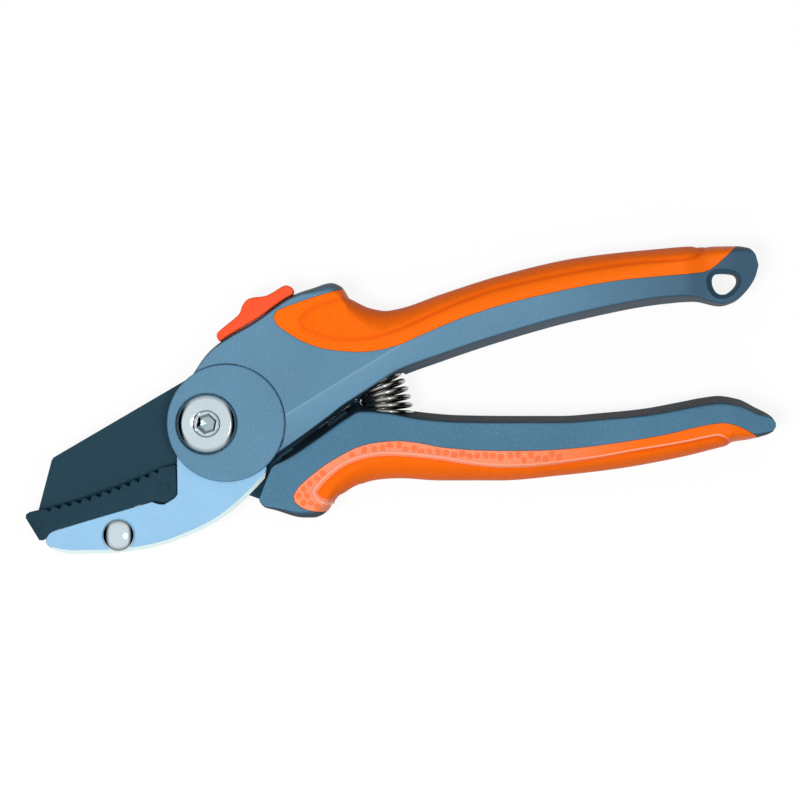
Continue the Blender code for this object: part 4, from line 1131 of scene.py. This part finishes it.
def bead_line(grip, loop, aside, fade):
    """A mesh of edges on both faces of the grip, aside from the loop, with a taper at its ends."""
    tree_of_faces = BVHTree.FromObject(grip, bpy.context.evaluated_depsgraph_get())
    path = refined(loop, 0.5, corner=60.0, closed=False)
    vertices, edges, tapers = [], [], []
    for sign in (1, -1):
        last = None
        for i in range(1, len(path) - 1):
            way = Vector(path[i + 1]) - Vector(path[i - 1])
            out = Vector((-way.y, way.x)).normalized() * aside
            x, y = path[i][0] + out.x, path[i][1] + out.y
            start = Vector((x * MM, y * MM, (MIDDLE + sign * FAR * 2) * MM))
            hit, _, _, _ = tree_of_faces.ray_cast(start, Vector((0, 0, -sign)))
            if hit is None:
                last = None
                continue
            vertices.append((hit.x, hit.y, hit.z - sign * BEAD_SINK))
            slimmer = 1 - 0.5 * eased(x, *fade)
            tapers.append(eased(i, 0, 6) * slimmer * eased(len(path) - i, 0, 10))
            if last is not None:
                edges.append((last, len(vertices) - 1))
            last = len(vertices) - 1
    mesh = bpy.data.meshes.new("bead_line")
    mesh.from_pydata(vertices, edges, [])
    mesh.attributes.new("taper", "FLOAT", "POINT").data.foreach_set("value", tapers)
    return mesh


bead = grown_by_nodes("lower_grip_bead", make_bead_tree(), {"Finish": BEAD},
                      bead_line(lower_grip, LOWER_LOOP, 0.75, (60.0, 95.0)))
placed(bead, BEAD, "orange_grip", "lower_handle", sharp=60.0)


# %% A patch of the band, and the pebbles on it
FROM_BEAD = 1.65
FROM_RIM = 1.0
LEVEL = 0.6             # how far a normal may lean, as its height


def band_patch(grip, loop, edge, side, x_to):
    """Faces of the grip's band that lie clear of its edge and of the bead."""
    places = np.array([v.co for v in grip.data.vertices])[:, :2] / MM
    off = line_distance(loop, places) * side
    rim = np.abs(line_distance(edge + edge[:1], places))
    normals = np.array([v.normal for v in grip.data.vertices])
    clear = (off < -FROM_BEAD) & (rim > FROM_RIM) & (places[:, 0] < x_to)
    clear &= np.abs(normals[:, 2]) > LEVEL
    form = bmesh.new()
    form.from_mesh(grip.data)
    form.verts.ensure_lookup_table()
    gone = [face for face in form.faces if not all(clear[v.index] for v in face.verts)]
    bmesh.ops.delete(form, geom=gone, context="FACES")
    patch = bpy.data.meshes.new("band_patch")
    form.to_mesh(patch)
    form.free()
    return patch


pebble_tree = make_pebble_tree()
patch = band_patch(lower_grip, LOWER_LOOP, LOWER_GRIP_EDGE, -1, 100.0)
pebbles = grown_by_nodes("lower_band_pebbles", pebble_tree, {"Finish": PEBBLE}, patch)
placed(pebbles, PEBBLE, "orange_grip", "lower_handle", sharp=20.0)


# %% [markdown]
# The slate bodies are cut the way the CAD ones are, because the cuts show when the tool opens: a
# recess for the disc, pockets for the anvil plates, the slot of the lock, a round pocket for each
# end of the spring, and in the lower handle a curved slot that the plates' heel swings into.

# %% The upper handle's body
DISC_CENTRE = (5.4, 0.2)
DISC_R = 16.4
OPEN_LINE = 0.25        # between the disc's rim and its recess
PLAY = 0.3              # round a plate that lies in a pocket
CATCH_HALF = 1.95
SPRING_APEX = (29.8, 2.95)
SPRING_OUT = 20.4
SPRING_SPREAD = 30.0
SPRING_WIRE = 1.3
POCKET_R = 7.6
UPPER_POCKET_R = POCKET_R - 0.45
POCKET_DEPTH = 14.0
EASE = 0.15             # under a disc, and under the spring's ends
ARM_ROOT = [(19.0, -7.4), (26.5, -0.6), (34.0, 7.0), (35.0, 16.0), (32.0, 22.0), (22.0, 23.0),
            (12.0, 18.2), (5.0, 14.6), (-2.0, 13.0), (-6.5, 9.0), (-8.0, 2.0)]
HANG_HOLE = [(140.8, 39.6), (141.3, 37.6), (142.6, 36.2), (144.9, 36.2), (147.0, 37.5),
             (148.3, 39.4), (148.1, 41.0), (146.8, 41.8), (142.6, 41.9), (141.2, 41.1)]
SLIDE_ANGLE = 32.0


def slide(s, n):
    """A point of the lock: s along its slide, n square to it."""
    cos, sin = math.cos(math.radians(SLIDE_ANGLE)), math.sin(math.radians(SLIDE_ANGLE))
    return (s * cos - n * sin, s * sin + n * cos)


def hanging_hole():
    """The cutter of the hanging hole, which flares at both faces."""
    outline = refined(HANG_HOLE, 0.5, corner=70.0)
    rings = []
    flares = (7.0, 0.9, 0.0, 0.0, 0.9, 7.0)
    for height, flare in zip((-FAR, -6.0, -5.0, 5.0, 6.0, FAR), flares):
        rings.append([(x, y, height) for x, y in grown(outline, flare)])
    return skin_over("hole", rings)


def make_upper_body():
    body = make_core(UPPER, "upper_handle_shell", UPPER_GRIP_EDGE, UPPER_FALL)
    for low, high in ((DISC_IN - EASE, FAR), (-FAR, EASE - DISC_IN)):
        combined(body, drum("recess", DISC_R + OPEN_LINE, low, high, DISC_CENTRE, 120))
    # Between the discs the recess is a little smaller on top, so that its rim backs the open line.
    rim = []
    for a in range(-180, 180, 3):
        x, y = polar(DISC_R + (OPEN_LINE if abs(a) > 165 or a < -40 else -0.55), a)
        rim.append((x + DISC_CENTRE[0], y + DISC_CENTRE[1]))
    combined(body, plate("recess", rim, -DISC_IN, DISC_IN))
    pocket = grown(ARM_ROOT + [(0.0, -6.0)], PLAY)
    combined(body, plate("front_pocket", pocket, ARM_IN - PLAY, ARM_OUT + PLAY))
    combined(body, plate("rear_pocket", pocket, -ARM_OUT - PLAY, PLAY - ARM_IN))
    slot = [slide(s, n) for s, n in (
        (10.0, 1.9), (30.3, 1.9), (30.3, 26.6), (17.7, 26.6), (17.7, 5.1), (10.0, 5.1))]
    combined(body, plate("lock_slot", slot, -CATCH_HALF, CATCH_HALF))
    combined(body, hanging_hole())
    # A small tapered lip closes the corner between the handles in front of the spring.
    # Its sloped sides take the painted wall shade, so it puts dark where the corner is only in
    # shade.
    lip = [(40.6, 6.1), (41.4, 6.2), (42.5, 5.95), (42.85, 6.4), (42.6, 7.6), (40.6, 7.6)]
    mid_x, mid_y = 41.6, 6.8
    rings = [[(mid_x + (x - mid_x) * share, mid_y + (y - mid_y) * share, height) for x, y in lip]
             for height, share in ((-5.5, 0.2), (-0.8, 1.0), (0.8, 1.0), (5.5, 0.2))]
    combined(body, skin_over("spring_lip", rings), "UNION")
    seat = polar(SPRING_OUT, SPRING_SPREAD)
    lift = polar(SPRING_WIRE / 2 + EASE, SPRING_SPREAD + 90)
    top = (SPRING_APEX[0] + seat[0] + lift[0], SPRING_APEX[1] + seat[1] + lift[1])
    pocket = lying_drum("pocket", UPPER_POCKET_R, POCKET_DEPTH, top, SPRING_SPREAD - 90)
    return combined(body, pocket)


placed(make_upper_body(), SLATE_UPPER, "slate_plastic", "upper_handle", "upper_handle_body")

# %% The lower handle's body
# How far from the pivot the plates' heel sweeps: (degrees, radius).
HEEL_SWEEP = [(a, 27.2) for a in (-170, -140, -110, -80, -65, -52)]
HEEL_SWEEP += [(-43, 25.4), (-34, 23.9), (-24, 22.9)]
HEEL_SWEEP += [(a, 22.6) for a in (-10, 20, 60, 100, 140)]
TANG = [(26.0, -6.9), (33.0, -4.0), (45.0, -1.0), (60.0, -2.0), (61.0, -4.5), (60.0, -7.0),
        (45.0, -8.4), (36.0, -12.0), (24.0, -20.6), (14.7, -21.1), (10.6, -19.6)]
BUMPER_ANGLE = 36.5
BUMPER_SIZE = (6.6, 2.6, 10.0)
BUMPER_PRESS = 0.03
bumper_low, bumper_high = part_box("stop_bumper")
BUMPER_AT = ((bumper_low.x + bumper_high.x) / 2 / MM, (bumper_low.y + bumper_high.y) / 2 / MM)


def turned_box(size, at, degrees):
    """The outline of a box that points along degrees from X."""
    along = Vector(polar(size[0] / 2, degrees))
    across = Vector(polar(size[1] / 2, degrees + 90))
    ends = [Vector(at) + along, Vector(at) - along]
    corners = [ends[0] + across, ends[1] + across, ends[1] - across, ends[0] - across]
    return [tuple(c) for c in corners]


def make_lower_body():
    body = make_core(LOWER, "lower_handle_shell", LOWER_GRIP_EDGE, LOWER_FALL)
    sweep = [polar(r, a) for a, r in HEEL_SWEEP]
    combined(body, plate("heel_slot", refined(sweep, 1.0), -ARM_OUT - PLAY, ARM_OUT + PLAY))
    tang = grown([(10.0, -8.0), (20.9, -8.0)] + TANG, PLAY)
    combined(body, plate("tang_pocket", tang, -BLADE_HALF - PLAY, BLADE_HALF + PLAY))
    low = (SPRING_APEX[0] + SPRING_OUT, SPRING_APEX[1] - SPRING_WIRE / 2 - EASE)
    combined(body, lying_drum("pocket", POCKET_R, POCKET_DEPTH, low, 90))
    # The bumper is pressed in, so its recess is a little smaller.
    recess = turned_box([s - 2 * BUMPER_PRESS for s in BUMPER_SIZE], BUMPER_AT, BUMPER_ANGLE)
    half = BUMPER_SIZE[2] / 2 - BUMPER_PRESS
    return combined(body, plate("recess", recess, -half, half))


placed(make_lower_body(), SHADED_SLATE_LOWER, "slate_plastic", "lower_handle", "lower_handle_body")

# %% [markdown]
# ## The pivot
# Two moulded discs cover the joint, one on each side. The bolt's chrome head sits in an
# off-centre eye of the front disc: a flat face, a sloped shoulder, and a countersunk hex socket
# with a drilled bottom. The nut on the other side has the same shoulder and a plain face. All are
# turned profiles.

# %% Discs
BOLT_HEAD_R = 8.4
STACK_HALF = MIDDLE


def make_disc(name, sign):
    rim, lip, eye = 0.6, 0.35, BOLT_HEAD_R + OPEN_LINE
    profile = [(0.0, DISC_IN), (DISC_R - 0.2, DISC_IN), (DISC_R, DISC_IN + 0.2)]
    profile += arc(rim, 0, 90, 7, (DISC_R - rim, DISC_OUT - rim))
    profile.append((0.0, DISC_OUT))
    disc = turned(name, [(r, sign * h) for r, h in profile], DISC_CENTRE, 144)
    cutter = [(0.0, DISC_IN - 1), (eye, DISC_IN - 1), (eye, DISC_OUT - lip)]
    for out, up in (polar(lip, a) for a in (22, 45, 68, 90)):
        cutter.append((eye + lip - out, DISC_OUT - lip + up))
    cutter += [(eye + lip, DISC_OUT + 1), (0.0, DISC_OUT + 1)]
    return combined(disc, turned("eye", [(r, sign * h) for r, h in cutter], sides=144))


placed(make_disc("front_disc", 1), SLATE, "slate_plastic", "upper_handle", "pivot_disc_front")
placed(make_disc("rear_disc", -1), SLATE, "slate_plastic", "upper_handle", "pivot_disc_rear")

# %% Bolt and nut
BOLT_R = 4.0
FACE_R = 6.75
SINK_R = 3.8            # the countersink round the hex socket
THREAD_R = 2.2
HEX_FLAT = 5.5
SEAT = ARM_OUT + 0.2


def shoulder(sign):
    """From the face down the sloped shoulder to the seat."""
    points = [(FACE_R, STACK_HALF), (FACE_R + 0.1, STACK_HALF - 0.02),
              (BOLT_HEAD_R - 0.30, STACK_HALF - 0.80), (BOLT_HEAD_R - 0.12, STACK_HALF - 1.0),
              (BOLT_HEAD_R, STACK_HALF - 1.35), (BOLT_HEAD_R, SEAT)]
    return [(r, sign * h) for r, h in points]


def make_bolt():
    hex_r = HEX_FLAT / math.sqrt(3)
    sink = [(0.0, STACK_HALF - 0.7), (SINK_R - 0.5, STACK_HALF - 0.7),
            (SINK_R, STACK_HALF - 0.05), (SINK_R + 0.12, STACK_HALF)]
    stem = [(BOLT_R, SEAT), (BOLT_R, -SEAT - 0.6), (THREAD_R, -SEAT - 0.6), (THREAD_R, -ARM_IN),
            (0.0, -ARM_IN)]
    bolt = turned("chrome_bolt", sink + shoulder(1) + stem, sides=120)
    rings = []
    for down, share in ((-1, 1.5), (0.4, 1.08), (2.7, 0.03)):
        hexagon = arc(hex_r * share, 18, 318, 6)
        rings.append([(x, y, STACK_HALF - down) for x, y in hexagon])
    return combined(bolt, skin_over("socket", rings))


def make_nut():
    inside = [(0.0, -ARM_IN - 0.3), (1.9, -ARM_IN - 0.3), (1.9, -SEAT - 0.9),
              (BOLT_HEAD_R, -SEAT - 0.9)]
    outside = shoulder(-1)[::-1][1:] + [(0.0, -STACK_HALF)]
    return turned("chrome_nut", inside + outside, sides=120)


placed(make_bolt(), CHROME, "chrome", "upper_handle", "pivot_bolt")
placed(make_nut(), CHROME, "chrome", "upper_handle", "pivot_nut")

# %% [markdown]
# ## The jaw
# The jaw has its own directions: u runs along the anvil to its nose, and v towards the blade's
# back. The anvil plates are satin steel with a wide chamfer on the outer edge, which is painted
# bright as a highlight. The insert between and over them is nylon, with a row of V notches on its
# lip and a groove that the blade's edge drops into. A domed rivet holds them together.

# %% Jaw directions
JAW_TILT = math.radians(199.5)


def jaw(u, v):
    cos, sin = math.cos(JAW_TILT), math.sin(JAW_TILT)
    return (u * cos + v * sin, u * sin - v * cos)


NOTCHES = 12
NOTCH_FROM, NOTCH_TO = 17.6, 49.4
NOTCH_DEPTH = 1.2
RIVET_AT = jaw(33.6, -21.1)
INSERT_PINS = [jaw(17.2, -12.9), jaw(53.9, -10.6)]
PLATE_PINS = [(28.0, 5.6), (31.0, 17.4)]
TANG_PINS = [(33.0, -9.6), (52.0, -4.8)]
BORE_R = 5.3            # round the pivot bush
RIVET_HOLE_R = 2.7
PIN_HOLE_R = 2.25
INSERT_PIN_R = 1.26
THROUGH = (-9, 9)       # past both faces of the insert and of the blade


def groove_floor(u):
    middle_u, half = (NOTCH_FROM + NOTCH_TO) / 2, (NOTCH_TO - NOTCH_FROM) / 2
    return -11.0 - (1 - ((u - middle_u) / half) ** 2)


def lip_top(u):
    return groove_floor(u) + 3.8


# %% Anvil plates
ARM_HEEL = [(4.0, -26.4), (11.5, -20.1), (16.2, -15.2)]


def arm_outline():
    seat = [(-8.3, -8.6), (-8.2, -19.6), (-9.0, -20.7), (-11.9, -22.5), (-13.5, -22.4),
            (-15.3, -21.8)]
    under = [jaw(50.6, -14.0), jaw(52.2, -14.6), jaw(53.2, -15.7)]
    nose = [jaw(53.2, -16.9), jaw(51.6, -19.2), jaw(48.6, -21.2)]
    belly = [jaw(44.1, -22.8), jaw(35.0, -25.7), jaw(24.5, -27.6), jaw(14.6, -27.6)]
    root = [(16.6, -11.6), (15.0, -8.0)] + ARM_ROOT[1:]
    return refined(seat + under + nose + belly + ARM_HEEL + root, 0.8, corner=35.0)


def chamfer_share(x, y):
    """1 along the belly, where the plate has its wide chamfer, and 0 elsewhere."""
    u = x * math.cos(JAW_TILT) + y * math.sin(JAW_TILT)
    v = x * math.sin(JAW_TILT) - y * math.cos(JAW_TILT)
    share = eased(-v, 16.5, 21.0)
    return share if u > 5 else share * eased(-y, 11.0, 14.0)


def make_anvil_plate(name, sign):
    outline = arm_outline()
    shares = [chamfer_share(x, y) for x, y in outline]
    knee = [ARM_OUT - 0.12 - 0.5 * share for share in shares]
    top = grown(outline, [-0.18 - 0.85 * share for share in shares])
    made = skin_over(name, [
        [(x, y, sign * ARM_IN) for x, y in grown(outline, -0.10)],
        [(x, y, sign * (ARM_IN + 0.1)) for x, y in outline],
        [(x, y, sign * height) for (x, y), height in zip(outline, knee)],
        [(x, y, sign * ARM_OUT) for x, y in top]])
    # The wide chamfer's faces are marked, so the finish paints a highlight on them
    made.data.attributes.new("ground", "FLOAT", "CORNER")
    marks = []
    for face in made.data.polygons:
        spot = face.center / MM
        slanted = 0.15 < abs(face.normal.z) < 0.95
        wide = slanted and chamfer_share(spot.x, spot.y) > 0.3
        marks += [1.0 if wide else 0.0] * face.loop_total
    made.data.attributes["ground"].data.foreach_set("value", marks)
    ends = sorted((sign * (ARM_IN - 1), sign * (ARM_OUT + 1)))
    combined(made, drum("bore", BORE_R, *ends, sides=96))
    combined(made, drum("rivet_hole", RIVET_HOLE_R, *ends, at=RIVET_AT, sides=48))
    for at in PLATE_PINS:
        combined(made, drum("pin_hole", PIN_HOLE_R, *ends, at=at, sides=48))
    return made


placed(make_anvil_plate("front_anvil_plate", 1), SATIN, "satin_steel", "upper_handle",
       "anvil_arm_front", sharp=20.0)
placed(make_anvil_plate("rear_anvil_plate", -1), SATIN, "satin_steel", "upper_handle",
       "anvil_arm_rear", sharp=20.0)

# %% Anvil insert
def insert_outline():
    lip = []
    pitch = (NOTCH_TO - NOTCH_FROM) / (NOTCHES - 1)
    for i in range(NOTCHES):
        u = NOTCH_FROM + i * pitch
        lip += [(u - pitch * 0.42, lip_top(u)), (u, lip_top(u) - NOTCH_DEPTH),
                (u + pitch * 0.42, lip_top(u))]
    nose = [(54.9, -6.7), (56.0, -7.0), (56.4, -7.9), (54.9, -15.0), (53.9, -15.4), (52.4, -14.4),
            (50.4, -13.9)]
    heel = [(21.6, -15.3), (20.5, -15.6), (18.9, -16.6), (17.4, -16.9), (14.9, -16.2),
            (14.3, -15.3), (12.0, -7.8)]
    return [jaw(u, v) for u, v in lip + nose + heel]


def make_insert():
    made = eased_plate("nylon_insert", insert_outline(), -ARM_OUT, ARM_OUT, 0.28)
    # Between the plates it has a tongue round the rivet, and a backing behind its heel.
    tongue = [jaw(27.0, -13.0), jaw(40.0, -13.0), jaw(39.0, -23.4), jaw(28.0, -23.8)]
    backing = [jaw(13.6, -12.4), jaw(25.0, -13.2), jaw(25.0, -18.6), jaw(13.6, -18.6)]
    for name, outline in (("tongue", tongue), ("backing", backing)):
        combined(made, plate(name, outline, PLAY - ARM_IN, ARM_IN - PLAY), "UNION")
    groove = [jaw(u, groove_floor(u)) for u in (14.2, 20.0, 27.0, 33.5, 40.0, 47.0, 53.3)]
    groove += [jaw(53.3, 5.0), jaw(8.2, 5.0), jaw(8.2, -9.0)]
    combined(made, plate("groove", groove, -BLADE_HALF - PLAY, BLADE_HALF + PLAY))
    combined(made, drum("rivet_hole", RIVET_HOLE_R, *THROUGH, at=RIVET_AT))
    low, high = ARM_OUT - 0.15, ARM_OUT + 1
    ring = [(1.8, low), (2.0, low), (2.0, high), (1.8, high), (1.8, low)]
    for at in INSERT_PINS:
        combined(made, drum("pin_hole", INSERT_PIN_R, *THROUGH, at=at))
        for sign in (1, -1):
            combined(made, turned("mark", [(r, sign * h) for r, h in ring], at, 64))
    return made


placed(make_insert(), NYLON, "anvil_nylon", "upper_handle", "anvil_insert")

# %% Rivet
def make_rivet():
    rise, radius, stem = 1.9, 4.6, 2.5
    turns = [math.radians(a) for a in range(0, 91, 9)]
    front = [(radius * math.sin(a), SEAT + rise * math.cos(a)) for a in turns]
    rear = [(r, -h) for r, h in reversed(front)]
    return turned("domed_rivet", front + [(stem, SEAT), (stem, -SEAT)] + rear, RIVET_AT, 96)


placed(make_rivet(), CHROME, "chrome", "upper_handle", "anvil_rivet")

# %% [markdown]
# The blade is a flat plate in a dark non-stick coat. Its edge is ground on both sides where it
# drops into the anvil, and its tang runs back into the lower handle.

# %% Blade
def blade_outline():
    edge = [jaw(u, groove_floor(u) + 0.3) for u in (15.0, 20.0, 27.0, 33.5, 40.0, 47.0, 52.7)]
    back = [jaw(52.5, -6.9), jaw(44.4, 5.0), jaw(43.6, 5.5), (-5.4, 12.6), (-2.6, 12.4)]
    boss, lug = 9.8, 13.6
    collar = arc(boss, 95, 68, 5) + [polar(lug, 65), polar(lug, 59)] + arc(boss, 58, -25, 9)
    neck = [(14.6, -12.0), (17.0, -11.05), (20.7, -8.4), (23.3, -6.6)]
    heel = arc(lug, -68, -124, 6)
    return refined(edge + back + collar + neck + TANG + heel, 1.2, corner=20.0)


def grinding_wedge(sign):
    """What the wheel takes off one side of the edge."""
    start, end = Vector(jaw(8.0, -11.0)), Vector(jaw(60.4, -11.0))
    across = (Vector(jaw(8.0, -10.0)) - start).normalized()
    base, width, land = -0.7, 4.2, 0.15
    slope = (BLADE_HALF - land) / width
    low, high = base - 3, base + width + 1
    section = [(low, land - 3 * slope), (high, land + slope * (width + 1)), (high, 9.0), (low, 9.0)]
    rings = [[(*(point + across * v), sign * z) for v, z in section] for point in (start, end)]
    return skin_over("wedge", rings)


def make_blade():
    made = eased_plate("coated_blade", blade_outline(), -BLADE_HALF, BLADE_HALF, 0.22, 2)
    combined(made, grinding_wedge(1))
    combined(made, grinding_wedge(-1))
    combined(made, drum("bore", BORE_R, *THROUGH, sides=96))
    for at in TANG_PINS:
        combined(made, drum("tang_hole", PIN_HOLE_R, *THROUGH, at=at, sides=48))
    return made


placed(make_blade(), COATED, "coated_steel", "lower_handle", "blade", sharp=15.0)

# %% [markdown]
# ## The lock and the bumper
# The red slider lies along the head's outer edge. It is one moulding with a raised thumb stop,
# softened at every rim. The bumper is a small rubber block let into the lower handle's front.

# %% Lock slider
SLIDER_HALF = 4.5
LOCK_PIN_R = 1.15
SLIDER_TOP = [(24.2, 36.9), (23.8, 37.9), (22.4, 38.6), (21.2, 38.4), (16.6, 35.8), (12.6, 35.2),
              (11.0, 34.5), (9.7, 32.6), (9.2, 31.0), (7.9, 29.6), (3.4, 25.9), (2.7, 24.9),
              (3.1, 23.4)]


def make_slider():
    foot = [(x, UPPER.palm(x) + 0.2) for x in (3.6, 6.0, 8.0, 11.0, 13.6, 16.0, 19.0, 22.0, 24.0)]
    outline = refined(SLIDER_TOP + foot, 0.6, corner=55.0)
    made = eased_plate("red_slider", outline, -SLIDER_HALF, SLIDER_HALF, 0.55, 5)
    stem = [slide(21.7, 14.0), slide(30.3, 14.0), slide(30.3, 20.9), slide(21.7, 20.9)]
    combined(made, plate("stem_slot", stem, -BLADE_HALF - PLAY, BLADE_HALF + PLAY))
    top = BLADE_HALF + 1.6      # the pin's hole is blind, and opens at the back only
    pin = drum("pin_hole", LOCK_PIN_R, THROUGH[0], top, at=slide(26.0, 19.4), sides=32)
    return combined(made, pin)


placed(make_slider(), RED, "red_lock", "lock", "lock_slider")

# %% Bumper
bumper = eased_plate("rubber_bumper", turned_box(BUMPER_SIZE, BUMPER_AT, BUMPER_ANGLE),
                     -BUMPER_SIZE[2] / 2, BUMPER_SIZE[2] / 2, 0.4, 3)
placed(bumper, RUBBER, "bumper_rubber", "lower_handle", "stop_bumper")

# %% [markdown]
# ## The spring
# The return spring is a coil of hard wire bent like a fan, wide at the lower handle and narrower
# at the upper one, between two seats that meet at an apex near the pivot. It follows a rule, so
# Geometry Nodes make it: a line with many points, each moved to its turn and tilt by a few sums,
# then swept with a round wire.

# %% The coil's tree
def make_coil_tree():
    tree, given, end_with = new_tree("fan_coil", [
        ("Turns", FLOAT, 6.0), ("Steps A Turn", FLOAT, 40.0),
        ("Wire Radius", FLOAT, SPRING_WIRE / 2 * MM), ("Lower Radius", FLOAT, 0.00685),
        ("Upper Radius", FLOAT, 0.00585), ("Reach", FLOAT, SPRING_OUT * MM),
        ("Spread", FLOAT, math.radians(SPRING_SPREAD)),
        ("Apex", VECTOR, (SPRING_APEX[0] * MM, SPRING_APEX[1] * MM, MIDDLE * MM))])

    def times(one, two):
        return maths(tree, "MULTIPLY", one, two)

    line = new_node(tree, "GeometryNodeCurvePrimitiveLine")
    dense = new_node(tree, "GeometryNodeResampleCurve", {
        "Curve": line.outputs["Curve"],
        "Count": maths(tree, "ADD", times(given["Turns"], given["Steps A Turn"]), 1.0)})
    share = new_node(tree, "GeometryNodeSplineParameter").outputs["Factor"]
    turn = times(times(share, given["Turns"]), 2 * math.pi)
    tilt = times(given["Spread"], share)
    change = maths(tree, "SUBTRACT", given["Upper Radius"], given["Lower Radius"])
    radius = maths(tree, "ADD", given["Lower Radius"], times(change, share))
    out = maths(tree, "ADD", given["Reach"], times(radius, maths(tree, "COSINE", turn)))
    spot = combined_xyz(tree, times(out, maths(tree, "COSINE", tilt)),
                        times(out, maths(tree, "SINE", tilt)),
                        times(radius, maths(tree, "SINE", turn)))
    bent = new_node(tree, "GeometryNodeSetPosition", {
        "Geometry": dense.outputs["Curve"],
        "Position": first_output(tree, "ShaderNodeVectorMath", spot, given["Apex"])})
    wire = new_node(tree, "GeometryNodeCurvePrimitiveCircle", {
        "Resolution": 16, "Radius": given["Wire Radius"]})
    end_with(swept_tube(tree, bent.outputs["Geometry"], wire.outputs["Curve"]))
    return tree


# %% The spring
spring = grown_by_nodes("fan_spring", make_coil_tree(), {"Finish": SPRING_STEEL})
shaded(spring, 50)
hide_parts("return_spring")
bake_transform(spring)
